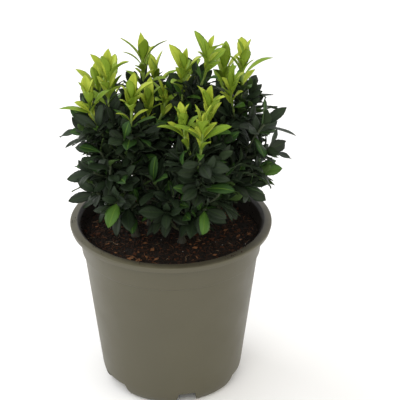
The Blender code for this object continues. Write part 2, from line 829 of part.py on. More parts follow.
def join_pieces(name, twigs, leaves, rng):
    """One union of a mass's twigs and leaves, as a mesh."""
    pieces = new_collection(f"{name} pieces")
    bodies = new_collection(f"{name} body")
    tubes = twig_tubes(name, twigs, pieces)
    pieces.objects.unlink(tubes[0])
    bodies.objects.link(tubes[0])
    for number, leaf in enumerate(leaves):
        shift = Vector([rng.uniform(-1, 1) * ROOT_JITTER for _ in range(3)])
        add_object(f"{name} leaf {number}", leaf_mesh(leaf, shift), pieces)
    union = tubes[0].modifiers.new("Join", "BOOLEAN")
    union.operation = "UNION"
    union.operand_type = "COLLECTION"
    union.collection = pieces
    union.solver = "EXACT"
    depsgraph = bpy.context.evaluated_depsgraph_get()
    joined = bpy.data.meshes.new_from_object(tubes[0].evaluated_get(depsgraph))
    for group in (pieces, bodies):
        for item in list(group.objects):
            bpy.data.objects.remove(item, do_unlink=True)
        bpy.data.collections.remove(group)
    return joined


def fuse_mass(name, number, twigs, leaves, parts, material):
    """Join one mass, without the leaf at the fault where the same join fails again."""
    rng = random.Random(SEED * 1000 + number)
    leaves = list(leaves)
    for attempt in range(FUSE_TRIES):
        joined = join_pieces(name, twigs, leaves, rng)
        faults = keep_main_body(joined)
        if not faults:
            break
        if attempt > 0:
            leaves.remove(min(leaves, key=lambda leaf: (leaf[0] - faults[0]).length))
    joined.materials.clear()
    joined.materials.append(material)
    return add_object(f"foliage_{name}", joined, parts)


def build_limbs(stems, limbs, parts):
    """Stems with a root flare, and one tapering bough for each mass."""
    bark = make_material("spindle bark", (0.11, 0.095, 0.06), 0.8)
    green = make_material("green shoot bark", (0.10, 0.13, 0.05), 0.65)
    for name, path in stems.items():
        radii = []
        for k in range(len(path)):
            share = k / (len(path) - 1)
            radius = STEM_RADIUS + (STEM_TOP_RADIUS - STEM_RADIUS) * share
            flare = (STEM_FOOT_RADIUS - STEM_RADIUS) * math.exp(-FLARE_DECAY * share)
            radii.append(radius + flare)
        stem = as_mesh(tube_curve(f"stem_{name}", path, radii, STEM_SIDES, parts), parts)
        flatten_foot(stem.data)
        stem.data.materials.clear()
        stem.data.materials.append(bark)
        smooth(stem, STEM_CREASE)
    for name, limb in limbs.items():
        path = limb["bough"]
        step = (BOUGH_TIP_RADIUS - BOUGH_BUTT_RADIUS) / (len(path) - 1)
        radii = [BOUGH_BUTT_RADIUS + step * k for k in range(len(path))]
        bough = as_mesh(tube_curve(f"bough_{name}", path, radii, BOUGH_SIDES, parts), parts)
        bough.data.materials.clear()
        bough.data.materials.append(green)
        smooth(bough, BOUGH_CREASE)


def flatten_foot(mesh):
    """Make the cut at the stem's foot level."""
    lowest = min(vert.co.z for vert in mesh.vertices)
    for vert in mesh.vertices:
        if vert.co.z < lowest + FOOT_BAND:
            vert.co.z = COMPOST_TOP + GAP


def main():
    """Build every sub-part in one collection."""
    clear_scene()
    parts = new_collection("japanese spindle")
    cutters = new_collection("cutters")
    guides = new_collection("guides")
    twig_section(guides)
    build_pot(parts, cutters)
    build_compost(parts)
    stems = stem_plan()
    limbs = limb_plan(stems)
    side_plan(limbs)
    build_limbs(stems, limbs, parts)
    leafy = make_material("leaf green", (0.07, 0.16, 0.02), 0.45)
    for number, name in enumerate(MASSES):
        twigs, leaves = grow_mass(name, number, limbs, stems)
        fuse_mass(name, number, twigs, leaves, parts, leafy)


main()
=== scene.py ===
"""Looks of the potted japanese spindle: pot, compost, bark, green shoots and every leaf."""

import json
import math
import random

import bmesh
import bpy
import numpy as np
from mathutils import Matrix, Vector, noise
from mathutils.bvhtree import BVHTree

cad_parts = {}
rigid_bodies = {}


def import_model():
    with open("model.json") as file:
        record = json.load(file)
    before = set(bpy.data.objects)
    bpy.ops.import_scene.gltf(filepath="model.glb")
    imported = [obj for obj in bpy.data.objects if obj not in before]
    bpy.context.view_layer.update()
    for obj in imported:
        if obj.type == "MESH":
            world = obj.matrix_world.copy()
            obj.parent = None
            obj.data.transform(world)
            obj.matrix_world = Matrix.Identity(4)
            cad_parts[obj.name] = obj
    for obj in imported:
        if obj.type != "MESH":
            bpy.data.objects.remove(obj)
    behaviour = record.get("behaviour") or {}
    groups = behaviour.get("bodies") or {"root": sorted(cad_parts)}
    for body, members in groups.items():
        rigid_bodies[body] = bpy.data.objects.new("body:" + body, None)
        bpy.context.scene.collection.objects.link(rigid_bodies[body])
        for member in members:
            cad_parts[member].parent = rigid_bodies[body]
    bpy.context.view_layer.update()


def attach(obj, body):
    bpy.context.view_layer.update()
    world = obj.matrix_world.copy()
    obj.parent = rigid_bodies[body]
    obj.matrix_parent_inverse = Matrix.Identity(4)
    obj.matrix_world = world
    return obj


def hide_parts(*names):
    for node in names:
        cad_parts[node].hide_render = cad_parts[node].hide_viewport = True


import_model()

MM = 0.001
UP = Vector((0.0, 0.0, 1.0))
HALVES = (0.0, math.pi)
GAP = 0.3 * MM
SEED = 71

# Camera: the photograph looks down on the pot from in front
CAMERA_PLACE = (0.0, -1.35835, 0.888733)
CAMERA_PITCH = 0.488695
CAMERA_YAW = 0.0180021
CAMERA_LENS = 165.14
SENSOR = 36.0

# Stage: place, height looked at, size, power and colour of each light
LIGHTS = {
    "key": ((-1.7, 0.7, 1.3), 0.18, 1.7, 24.0, (1.0, 1.0, 1.0)),
    "front": ((-0.6, -1.9, 1.4), 0.15, 1.2, 13.0, (1.0, 0.97, 0.9)),
    "right": ((1.8, -0.6, 1.0), 0.15, 1.2, 6.0, (1.0, 0.83, 0.52)),
}
FLOOR_SIZE = 6.0
FLOOR_TONES = ((0.94, 0.94, 0.94), (0.96, 0.96, 0.96))

# Pot
POT_HEIGHT = 150 * MM
RIM_RADIUS = 85 * MM
RIM_INNER_RADIUS = 78.6 * MM
RIM_SKIRT = 5.6 * MM
RIM_ROOT = 2 * MM
RIM_THICKNESS = 3 * MM
WALL_LOW_Z = 12 * MM
WALL_LOW_RADIUS = 60.2 * MM
WALL_SLOPE = 0.125
COLLAR_Z = 121 * MM
COLLAR_STEP = 1.3 * MM
COLLAR_RISE = 2.5 * MM
COLLAR_LIP = 1 * MM
WALL_THICKNESS = 2.2 * MM
FLOOR_Z = 12.5 * MM
FLOOR_SETBACK = 2 * MM
FOOT_RADIUS = 53.5 * MM
FOOT_EDGE = 2.4 * MM
HOLLOW_Z = 9.5 * MM
HOLLOW_OUTER = 57 * MM
HOLLOW_INNER = 43.5 * MM
POT_STEPS = 168
POT_CREASE = math.radians(38)
ARC_POINTS = 6
ARC_SHARE = 0.48

# Notches round the foot: place in degrees and top width in millimetres
NOTCHES = [(-57, 30), (12, 14.6), (74, 30), (131, 14.6), (188, 30), (246, 14.6)]
NOTCH_HEIGHT = 11 * MM
NOTCH_INNER = 50 * MM
NOTCH_FLARE = 4.9 * MM
NOTCH_ROUNDING = 0.8 * MM

# Plastic, with painted shade and soiling down the inner wall, and a dusting with painted shade on the rim
# top, heavier in front and right
POT_TONES = ((0.0665, 0.0595, 0.033), (0.0735, 0.066, 0.0365))
DIRT_AND_SHADE_TONE = (0.013, 0.0095, 0.006)
GRIME_AND_SHADE_START = 0.7 * MM
GRIME_AND_SHADE_EDGE = 0.3 * MM
DUST_AND_SHADE_REACH = 1.9 * MM
DUST_AND_SHADE_FADE = 3 * MM
DUST_AND_SHADE_RAGGED = 4 * MM
DUST_AND_SHADE_DEPTH = 1.4 * MM
# The drift pushes the rim's darkening to the front and right, where the crown shades it: painted shade on top
# of a dusting
DUST_AND_SHADE_DRIFT = (-0.03, 0.045)
DUST_AND_SHADE_SHARE = 0.6

# Compost
COMPOST_TOP = 135 * MM
COMPOST_LEVELS = [COLLAR_Z - 1 * MM, FLOOR_Z + 4 * MM, FLOOR_Z + GAP]
MOUND_HEIGHT = 0.66 * MM
MOUND_LENGTHS = (11 * MM, 13 * MM)
RIPPLE_HEIGHT = 0.33 * MM
RIPPLE_LENGTHS = (6 * MM, 7.5 * MM)
COMPOST_STEPS = 120
COMPOST_RINGS = 60
GRAIN_HEIGHT = 1.5 * MM
GRAIN_SIZE = 3.2 * MM

# Loose bits: how many, and their sizes, lengths and thicknesses in millimetres
CRUMBS = 3600
CRUMB_SIZES = (0.5, 1.5)
FLAKES = 150
FLAKE_SIZES = (1.6, 3.2)
FIBRES = 400
FIBRE_LENGTHS = (3, 10)
FIBRE_RADII = (0.1, 0.22)
FIBRE_POINTS = 5
PALE_GRAINS = 20
PALE_SIZES = (0.4, 0.8)
WALL_CRUMBS = 420
WALL_DIRT_ANGLES = (math.radians(215), 1.3)
WALL_DIRT_RISE = 4.5
WALL_DIRT_MARGIN = 3.2 * MM
WALL_DIRT_SIZES = (0.25, 0.8)
RIM_DIRT_SIZES = (0.25, 0.7)
# Crumbs on the rim: middle and spread of each patch in degrees, and how many
RIM_CRUMBS = [(182, 4, 5), (222, 9, 16), (312, 6, 12), (275, 14, 8)]

# Limbs
STEM_FOOT_RADIUS = 4.2 * MM
STEM_RADIUS = 2.5 * MM
STEM_TOP_RADIUS = 2.1 * MM
STEM_LEAN = 0.16
STEM_UPRIGHT = 0.55
STEM_POINTS = 5
STEM_ROOT = 4 * MM
STEM_SIDES = 22
STEM_STEP = 0.7 * MM
STEM_RELIEF = 0.32 * MM
BOUGH_SIDES = 14
BOUGH_STEP = 1.2 * MM
BOUGH_RELIEF = 0.12 * MM
TWIG_SIDES = 8
TWIG_STEP = 1.6 * MM
FLARE_DECAY = 9
BOUGH_BUTT_RADIUS = 1.7 * MM
BOUGH_TIP_RADIUS = 1.3 * MM
BOUGH_COLLAR = 0.35 * MM
COLLAR_DECAY = 8
TWIG_BUTT_RADIUS = 1.35 * MM
TWIG_TOP_RADIUS = 0.85 * MM
SIDE_TWIG_RADIUS = 1.1 * MM
BOUGH_LEAVE_ANGLE = math.radians(44)
LOW_LEAVE_ANGLE = math.radians(30)
FORK_MARGIN = 2.6 * MM
FORK_STEP = 4.5 * MM
FORK_CLEARANCE = 0.2 * MM
SPLIT_FRACTION = 0.31
LEAVE_PULL = 0.3
ARRIVE_PULL = 0.38
TOP_LEAN = 0.35
LOW_TOP_RISE = 0.6
LINE_POINTS = 24
BOUGH_POINTS = 4
LEADER_POINTS = 14
SIDE_START = 0.3
SIDE_LEAN = 0.6
SIDE_LEAVE_PULL = 0.35
SIDE_ARRIVE_PULL = 0.3
SIDE_POINTS = 10
SHOOT_REACH = (14 * MM, 22 * MM)
SHOOT_STEP = 10 * MM
TALL_SHOOTS = 6
LOW_SHOOTS = 5
FEWEST_LEAVES = 2
FIRST_SHOOT = 4 * MM
LAST_SHOOT = 22 * MM
SHOOT_LEAN = 0.7
SHOOT_RISE = 0.15
SHOOT_SHARES = (1.0, 0.7)
SHOOT_TURN_JITTER = 0.3
SHOOT_POINTS = 4

# Leaves
LEAF_WIDEST = 0.56
LEAF_FOLD = 0.03
LEAF_LATE = 0.8
LEAF_FREE = 0.3
YOUNG_ANGLES = [14, 36, 56, 60]
YOUNG_SIZES = [26, 31, 29, 23]
YOUNG_BREADTH = 0.44
OLD_ANGLES = (64, 92)
OLD_SIZES = (26, 32)
OLD_BREADTH = 0.53
LEAF_TRIES = [(0, 1.0), (-14, 0.95), (12, 0.88), (-24, 0.8), (24, 0.75), (-8, 0.68), (0, 0.58)]
SPACE_MARGIN = 0.6 * MM
LIMB_MARGIN = 0.7 * MM
TWIG_CLEARANCE = 1.8 * MM
COMPOST_MARGIN = 4.5 * MM
RIM_REACH = 71 * MM
RIM_MARGIN = 2 * MM
SHOOT_MARGIN = 2 * MM
PAIR_STEPS = [0.0, 4 * MM, 10 * MM, 25 * MM]
PAIR_STEP_OLD = 9.4 * MM
YOUNG_PAIRS = 4
TOP_PAIR_DEPTH = 0.8 * MM
LOW_OPENING = (0.75, 30)
SIZE_SPREAD = (0.92, 1.08)
SPIN_JITTER = 0.14
ANGLE_JITTER = 5
TURN_JITTER = 0.2
STEEPEST_ANGLE = 8
SIDE_VIGOUR = 0.9
SHOOT_VIGOUR = 0.88
LEADER_BARE = 4 * MM
SIDE_BARE = 10 * MM
SHOOT_BARE = 8 * MM

# Finer growth, which only these looks have
FINE_OVERLAP = -9 * MM
FINE_SPIN_JITTER = 0.2
FINE_ANGLE_JITTER = 8
FINE_TURN_JITTER = 0.4
FINE_PAIR_STEP = 5 * MM
FINE_FIRST = {"tall": 27 * MM, "low": 10 * MM, "shoot": 10 * MM}
BARE_FIRST = 31 * MM
BARE_STEMMED = ["left", "mid_left", "centre_left", "front", "mid_right"]
FINE_ANGLES = (45, 95)
FINE_SIZES = (19, 27)
FINE_SHOOT_STEP = 5 * MM
FINE_SHOOT_REACH = (9 * MM, 24 * MM)
FINE_SHOOT_LEAN = 0.8
FINE_SHOOT_RISE = 0.2
FINE_SHOOT_POINTS = 5
FINE_SHOOT_RADII = (0.7 * MM, 0.5 * MM)
FINE_SHOOT_FOOT = 3 * MM
FINE_SHOOTS = 18
FINE_LAST = 26 * MM
SECOND_LAST = 36 * MM
SHOOT_HEADROOM = 24 * MM
AXIL_PLACES = [5 * MM, 11 * MM, 19 * MM]
AXIL_ANGLES = (22, 52)
AXIL_SIZES = (15, 24)
# Pairs of a fine shoot: millimetres below its tip, angle and size
FINE_SHOOT_PAIRS = [(1.5, 34, 19), (6.5, 60, 23), (11, 74, 23), (16, 80, 21)]
FINE_SIZE_SPREAD = (0.85, 1.15)
TALL_GREEN = 40 * MM
LIME_SHARE = 0.62
NODE_SWELL = 0.28
NODE_LENGTH = 1.3 * MM
BUD_ANGLES = (6, 14)
BUD_SIZES = (9, 13)
BUD_BREADTH = 0.4
NEAR_LEAVES = 40 * MM

# Leaf blades: rows from petiole to tip and columns from edge to edge
LEAF_ROWS = 14
LEAF_COLUMNS = np.array([-1.0, -0.55, -0.07, 0.07, 0.55, 1.0])
LEAF_SOLID = 0.22 * MM
RIB_DEPTH = 0.3 * MM
TOOTH_DEPTH = 0.03
VEINS = 8
PETIOLE_SHARE = 0.08
PETIOLE_HALF = 0.55 * MM
TIP_ARCH = (0.1, 0.7)
FULLNESS = (0.76, 0.94)
BREADTHS = (0.86, 1.14)
YOUNG_BLADE = {"arch": (0.5, 1.15), "blunt": (1.05, 1.45), "fold": (0.3, 0.7), "wave": (0.0, 0.05),
               "narrower": 0.72}
OLD_BLADE = {"arch": (0.25, 0.7), "blunt": (1.0, 1.25), "fold": (0.08, 0.3), "wave": (0.02, 0.09),
             "narrower": 0.78}

# Each stem: foot x, foot y and fork height above the compost, in millimetres
STEMS = {
    "left": (-30, -3, 24),
    "front": (9, -15, 20),
    "back_left": (-17, 17, 26),
    "back": (5, 27, 26),
    "right": (26, 7, 24),
}

# Each mass: its stem, then x, y and height above the compost of its tips, in millimetres.
# The first tip ends the leading twig and any other tip ends a side twig.
MASSES = {
    "left": ("left", [(-50, 0, 142), (-65, -6, 123)]),
    "mid_left": ("left", [(-31, -18, 130)]),
    "low_left": ("left", [(-57, -18, 86), (-49, -30, 79)]),
    "low_front_left": ("left", [(-41, -32, 69)]),
    "low_side_left": ("left", [(-58, 8, 66)]),
    "tall_back_left": ("back_left", [(-22, 46, 137)]),
    "centre_left": ("back_left", [(-18, 9, 113), (-4, 14, 118)]),
    "far_left": ("back_left", [(-60, 34, 118)]),
    "back_corner": ("back_left", [(-50, 62, 110)]),
    "low_back_left": ("back_left", [(-30, 58, 56)]),
    "front": ("front", [(26, -38, 113), (11, -29, 112)]),
    "low_front": ("front", [(-14, -32, 65), (2, -38, 56)]),
    "low_right": ("front", [(56, -16, 74), (44, -23, 67)]),
    "low_front_right": ("front", [(26, -40, 65), (40, -34, 57)]),
    "centre": ("back", [(11, 16, 139), (31, 14, 153)]),
    "back_mid": ("back", [(-12, 66, 112)]),
    "back_tip": ("back", [(20, 74, 94)]),
    "low_back": ("back", [(-6, 60, 44), (9, 64, 36)]),
    "mid_right": ("right", [(31, -15, 118)]),
    "right": ("right", [(61, 31, 140), (50, 15, 127)]),
    "side_right": ("right", [(77, -4, 103)]),
    "low_side_right": ("right", [(63, 29, 58)]),
    "back_right": ("right", [(46, 60, 122)]),
}
CLIPPED = [name for name in MASSES if name.startswith("low")] + ["side_right", "back_tip"]

# Leaf tones, each a plain colour that is dealt out by spray and by the age of the pair
TONES = {
    "lime": ((0.31, 0.39, 0.028), (0.41, 0.485, 0.048)),
    "lime_deep": ((0.165, 0.275, 0.018), (0.24, 0.35, 0.03)),
    "fresh": ((0.038, 0.1, 0.011), (0.06, 0.132, 0.016)),
    "middle": ((0.018, 0.05, 0.01), (0.027, 0.064, 0.013)),
    "dark": ((0.0145, 0.0245, 0.012), (0.0205, 0.0335, 0.016)),
    "darkest": ((0.0132, 0.0205, 0.0115), (0.0188, 0.0275, 0.0147)),
    "lime_underside": ((0.17, 0.26, 0.02), (0.21, 0.31, 0.03)),
    "lime_rib": ((0.27, 0.38, 0.03), (0.34, 0.45, 0.045)),
    "green_underside": ((0.05, 0.09, 0.022), (0.065, 0.11, 0.03)),
    "green_rib": ((0.07, 0.14, 0.018), (0.09, 0.17, 0.025)),
    "dark_underside": ((0.026, 0.042, 0.019), (0.034, 0.052, 0.024)),
    "dark_rib": ((0.02, 0.036, 0.014), (0.028, 0.046, 0.018)),
}
TONE_NUMBERS = {name: number for number, name in enumerate(TONES)}
TUFT_TONES = ["lime", "lime", "lime_deep", "fresh"]
BACKS = {"lime": "lime", "lime_deep": "lime", "fresh": "green", "middle": "green",
         "dark": "dark", "darkest": "dark"}

# Compost tones, each with its roughness
SOILS = {
    "peat dark": ((0.0085, 0.0066, 0.0053), (0.0175, 0.0125, 0.0095), 0.95),
    "peat brown": ((0.021, 0.0125, 0.0088), (0.042, 0.024, 0.0155), 0.95),
    "bark crumb": ((0.042, 0.016, 0.0075), (0.085, 0.032, 0.014), 0.9),
    "coir": ((0.13, 0.056, 0.023), (0.23, 0.1, 0.042), 0.8),
    "pale straw": ((0.22, 0.15, 0.08), (0.32, 0.23, 0.14), 0.75),
    "pale grain": ((0.22, 0.2, 0.17), (0.36, 0.33, 0.29), 0.7),
}

# Bark: scale of its streaks, then places and tones along them
BARKS = {
    "stem bark": (700.0, (0.3, 0.55, 0.75),
                  ((0.012, 0.0125, 0.007), (0.03, 0.031, 0.017), (0.055, 0.054, 0.031))),
    "bough bark": (600.0, (0.3, 0.55, 0.8),
                   ((0.03, 0.04, 0.018), (0.06, 0.075, 0.03), (0.1, 0.1, 0.05))),
    "young shoot": (500.0, (0.35, 0.65), ((0.2, 0.3, 0.05), (0.27, 0.37, 0.08))),
    "green shoot": (500.0, (0.35, 0.65), ((0.09, 0.15, 0.035), (0.13, 0.2, 0.05))),
    "old shoot": (600.0, (0.3, 0.7), ((0.024, 0.034, 0.014), (0.045, 0.06, 0.024))),
}


def link_object(name, data):
    """A new object in the scene."""
    item = bpy.data.objects.new(name, data)
    bpy.context.scene.collection.objects.link(item)
    return item


def add_piece(name, mesh, materials, nodes=()):
    """Put a mesh in the scene as a piece that rides on the one body."""
    for material in materials:
        mesh.materials.append(material)
    piece = link_object(name, mesh)
    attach(piece, "root")
    if nodes:
        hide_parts(*nodes)


def mesh_from(name, points, faces, tones=None, smooth=True):
    """A mesh from lists of points and of faces, with one material number a face."""
    mesh = bpy.data.meshes.new(name)
    mesh.from_pydata(points, [], faces)
    if tones is not None:
        mesh.polygons.foreach_set("material_index", tones)
    mesh.polygons.foreach_set("use_smooth", [smooth] * len(mesh.polygons))
    mesh.update()
    return mesh


# Materials


class Shader:
    """A Principled material and short ways to wire nodes into it."""

    def __init__(self, name):
        self.material = bpy.data.materials.new(name)
        self.material.use_nodes = True
        self.tree = self.material.node_tree

    def feed(self, node, inputs):
        """Link sockets to a node's inputs, or set the inputs to plain values."""
        for key, value in inputs.items():
            if isinstance(value, bpy.types.NodeSocket):
                self.tree.links.new(value, node.inputs[key])
            else:
                node.inputs[key].default_value = value

    def node(self, kind, inputs, **fields):
        """Add a node and set its fields and inputs."""
        item = self.tree.nodes.new(kind)
        for key, value in fields.items():
            setattr(item, key, value)
        self.feed(item, inputs)
        return item

    def place(self, kind):
        """Coordinates of one kind."""
        return self.node("ShaderNodeTexCoord", {}).outputs[kind]

    def split(self, kind):
        """The three numbers of one kind of coordinates."""
        return self.node("ShaderNodeSeparateXYZ", {"Vector": self.place(kind)}).outputs

    def work(self, operation, *values):
        """A Math node on sockets or plain numbers."""
        return self.node("ShaderNodeMath", dict(enumerate(values)), operation=operation).outputs[0]

    def grain(self, scale, detail=3.0, rough=0.55, stretch=None):
        """Noise in the object's own coordinates, drawn out where a stretch is given."""
        place = self.place("Object")
        if stretch:
            place = self.node("ShaderNodeMapping", {"Vector": place, "Scale": stretch}).outputs[0]
        inputs = {"Vector": place, "Scale": scale, "Detail": detail, "Roughness": rough}
        return self.node("ShaderNodeTexNoise", inputs).outputs["Fac"]

    def ramp(self, factor, places, colours):
        """Colours along a factor."""
        item = self.node("ShaderNodeValToRGB", {"Fac": factor})
        band = item.color_ramp
        while len(band.elements) < len(places):
            band.elements.new(0.5)
        for element, place, colour in zip(band.elements, places, colours):
            element.position = place
            element.color = (*colour, 1.0)
        return item.outputs["Color"]

    def remap(self, factor, source, target=(0.0, 1.0)):
        """A factor mapped from one range of numbers to another."""
        inputs = {"Value": factor, "From Min": source[0], "From Max": source[1],
                  "To Min": target[0], "To Max": target[1]}
        return self.node("ShaderNodeMapRange", inputs).outputs["Result"]

    def uneven(self, factor, low, high):
        """Plain numbers that follow the middle of a noise."""
        return self.remap(factor, (0.3, 0.7), (low, high))

    def finish(self, colour, rough, height=None, strength=0.0, distance=0.0, shine=0.5):
        """Feed the Principled node, with relief from a height, and give the material."""
        inputs = {"Base Color": colour, "Roughness": rough, "Specular IOR Level": shine}
        if height is not None:
            bump = {"Height": height, "Strength": strength, "Distance": distance}
            inputs["Normal"] = self.node("ShaderNodeBump", bump).outputs["Normal"]
        self.feed(self.tree.nodes["Principled BSDF"], inputs)
        return self.material


def leaf_material(name):
    """Leaf skin: a close range of one green, uneven gloss and slight side veins."""
    shader = Shader(f"leaf {name}")
    rough, shine = (0.42, 0.54), 0.14
    if name.endswith("underside") or name.endswith("rib"):
        rough, shine = (0.5, 0.62), 0.12
    elif name in TUFT_TONES:
        rough, shine = (0.44, 0.56), 0.22
    along, across, _ = shader.split("UV")
    off_rib = shader.work("ABSOLUTE", shader.work("SUBTRACT", across, 0.5))
    slant = shader.work("MULTIPLY_ADD", off_rib, -0.5, along)
    veins = shader.work("SINE", shader.work("MULTIPLY", slant, math.tau * VEINS))
    colour = shader.ramp(shader.grain(70.0), (0.35, 0.65), TONES[name])
    return shader.finish(colour, shader.uneven(shader.grain(220.0), *rough), veins, 0.1, 0.3 * MM, shine)


def bark_material(name):
    """Bark in long streaks, with fine cracks."""
    shader = Shader(name)
    scale, places, tones = BARKS[name]
    streak = shader.grain(scale, 5.0, 0.5, (1.0, 1.0, 0.25))
    colour = shader.ramp(streak, places, tones)
    return shader.finish(colour, shader.uneven(streak, 0.85, 0.6), streak, 0.5, 0.6 * MM)


def soil_material(name):
    """One tone of compost, uneven from grain to grain."""
    shader = Shader(name)
    low, high, rough = SOILS[name]
    colour = shader.ramp(shader.grain(420.0, 4.0), (0.32, 0.68), (low, high))
    uneven = shader.uneven(shader.grain(300.0), rough - 0.1, rough)
    return shader.finish(colour, uneven, shader.grain(1500.0, 4.0), 0.6, 0.6 * MM, 0.15)


def pot_material():
    """Satin olive plastic; painted shade and soiling inside, dusting and painted shade on the rim's front and
    right.
    """
    shader = Shader("pot plastic")
    work = shader.work
    plain = shader.ramp(shader.grain(14.0, 2.0), (0.3, 0.7), POT_TONES)
    x, y, z = shader.split("Object")
    across = work("SQRT", work("MULTIPLY_ADD", x, x, work("MULTIPLY", y, y)))
    lean = work("MULTIPLY_ADD", z, -WALL_SLOPE, across)
    inner_line = RIM_INNER_RADIUS - WALL_SLOPE * POT_HEIGHT
    # Inner wall: painted shade and soiling, crisp just inside the rim's inner edge and down to the compost
    near_top = work("GREATER_THAN", z, POT_HEIGHT - RIM_THICKNESS)
    inside = work("MULTIPLY_ADD", near_top, -GRIME_AND_SHADE_START, lean)
    grime_and_shade = shader.remap(inside, (inner_line, inner_line - GRIME_AND_SHADE_EDGE))
    grime_and_shade = work("MULTIPLY", grime_and_shade, work("GREATER_THAN", z, COLLAR_Z + 2 * COLLAR_RISE))
    # Rim top: a dusting plus painted shade, ragged, heavier to the front and right
    drifted = work("MULTIPLY_ADD", shader.grain(160.0, 4.0), DUST_AND_SHADE_RAGGED, lean)
    for side, drift in zip((x, y), DUST_AND_SHADE_DRIFT):
        drifted = work("MULTIPLY_ADD", side, drift, drifted)
    dust_and_shade_line = inner_line + DUST_AND_SHADE_REACH + DUST_AND_SHADE_RAGGED / 2
    dust_and_shade = shader.remap(drifted, (dust_and_shade_line, dust_and_shade_line - DUST_AND_SHADE_FADE))
    dust_and_shade = work("MULTIPLY", dust_and_shade, work("GREATER_THAN", z, POT_HEIGHT - DUST_AND_SHADE_DEPTH))
    share = work("MAXIMUM", grime_and_shade, work("MULTIPLY", dust_and_shade, DUST_AND_SHADE_SHARE))
    # Plastic pulled towards one dark tone wherever the painted shade and soiling or the dusting and painted
    # shade fall
    mixed = shader.node("ShaderNodeMix", {0: share, 6: plain, 7: (*DIRT_AND_SHADE_TONE, 1.0)}, data_type="RGBA")
    rough = shader.uneven(shader.grain(35.0, 4.0), 0.4, 0.5)
    return shader.finish(mixed.outputs[2], rough, shader.grain(900.0, 2.0), 0.08, 0.3 * MM)


# Lines and rings


def bezier(points, t):
    """A point of the Bezier curve through its control points at t from 0 to 1."""
    row = list(points)
    while len(row) > 1:
        row = [a.lerp(b, t) for a, b in zip(row, row[1:])]
    return row[0]


def curve_points(controls, count):
    """Evenly timed points along a Bezier curve."""
    return [bezier(controls, k / (count - 1)) for k in range(count)]


def path_lengths(path):
    """Running length along a path, one value for each of its points."""
    total = [0.0]
    for a, b in zip(path, path[1:]):
        total.append(total[-1] + (b - a).length)
    return total


def path_length(path):
    """Whole length of a path."""
    return path_lengths(path)[-1]


def point_at(path, distance):
    """Point and direction at a distance along a path."""
    total = path_lengths(path)
    distance = min(max(distance, 0.0), total[-1])
    k = 0
    while distance > total[k + 1] and k < len(path) - 2:
        k += 1
    step = path[k + 1] - path[k]
    share = (distance - total[k]) / max(total[k + 1] - total[k], 1e-9)
    return path[k] + step * share, step.normalized()


def cut_path(path, start, end, count):
    """Evenly spaced points of a path between two distances."""
    return [point_at(path, start + (end - start) * k / (count - 1))[0] for k in range(count)]


def ring_points(radius, z, steps, turn=0.0):
    """A level ring of points round the axis."""
    angles = [math.tau * (k + turn) / steps for k in range(steps)]
    return [(radius * math.cos(angle), radius * math.sin(angle), z) for angle in angles]


def ring_faces(rings, steps, first=0):
    """Faces between rings of points that lie one after another."""
    faces = []
    for low in range(first, first + (rings - 1) * steps, steps):
        for k in range(steps):
            after = (k + 1) % steps
            faces.append((low + k, low + after, low + steps + after, low + steps + k))
    return faces


# Pot


def wall_radius(z):
    """Outer radius of the pot's wall at a height, with the wider collar at the top."""
    radius = WALL_LOW_RADIUS + WALL_SLOPE * (z - WALL_LOW_Z)
    return radius + COLLAR_STEP if z > COLLAR_Z else radius


def rounded(corners):
    """A profile whose corners, (radius, z, rounding in millimetres), become short arcs."""
    profile = []
    for k, (radius, z, size) in enumerate(corners):
        spot = Vector((radius, z))
        if size == 0:
            profile.append(spot)
            continue
        before = Vector(corners[k - 1][:2]) - spot
        after = Vector(corners[k + 1][:2]) - spot
        reach = min(size * MM, before.length * ARC_SHARE, after.length * ARC_SHARE)
        arc = [spot + before.normalized() * reach, spot, spot + after.normalized() * reach]
        profile += curve_points(arc, ARC_POINTS)
    return profile


def pot_profile():
    """Half section of the pot from its axis under the foot, up the outside and down inside."""
    skirt_z = POT_HEIGHT - RIM_SKIRT
    root_z = skirt_z - RIM_ROOT
    collar_top = COLLAR_Z + COLLAR_RISE
    under = POT_HEIGHT - RIM_THICKNESS
    floor_radius = wall_radius(FLOOR_Z) - WALL_THICKNESS
    return rounded([
        (0.0, 0.0, 0),
        (HOLLOW_INNER, 0.0, 0.3),
        (HOLLOW_INNER, HOLLOW_Z, 1),
        (HOLLOW_OUTER, HOLLOW_Z, 1),
        (FOOT_RADIUS - FOOT_EDGE, 0.0, 0.5),
        (FOOT_RADIUS, 0.0, 0.8),
        (WALL_LOW_RADIUS - 4.2 * MM, 1.8 * MM, 1.5),
        (WALL_LOW_RADIUS - 1.6 * MM, 6 * MM, 3),
        (wall_radius(WALL_LOW_Z), WALL_LOW_Z, 3),
        (wall_radius(COLLAR_Z), collar_top - COLLAR_LIP, 0.4),
        (wall_radius(collar_top), collar_top, 0.4),
        (wall_radius(root_z), root_z, 1),
        (wall_radius(skirt_z) + 0.3 * MM, skirt_z + 1.7 * MM, 0.4),
        (RIM_RADIUS - 2 * MM, skirt_z + 0.9 * MM, 0.3),
        (RIM_RADIUS - 1 * MM, skirt_z, 0.4),
        (RIM_RADIUS, POT_HEIGHT - 1.8 * MM, 0.5),
        (RIM_RADIUS - 0.6 * MM, POT_HEIGHT - 1.1 * MM, 0.5),
        (RIM_INNER_RADIUS, POT_HEIGHT, 0.5),
        (RIM_INNER_RADIUS - 0.8 * MM, POT_HEIGHT - 0.9 * MM, 0.5),
        (wall_radius(under) - WALL_THICKNESS, under, 1),
        (wall_radius(collar_top) - WALL_THICKNESS, collar_top, 1),
        (wall_radius(COLLAR_Z) - WALL_THICKNESS, COLLAR_Z, 1),
        (floor_radius, FLOOR_Z + 2 * MM, 1),
        (floor_radius - FLOOR_SETBACK, FLOOR_Z, 1),
        (0.0, FLOOR_Z, 0),
    ])


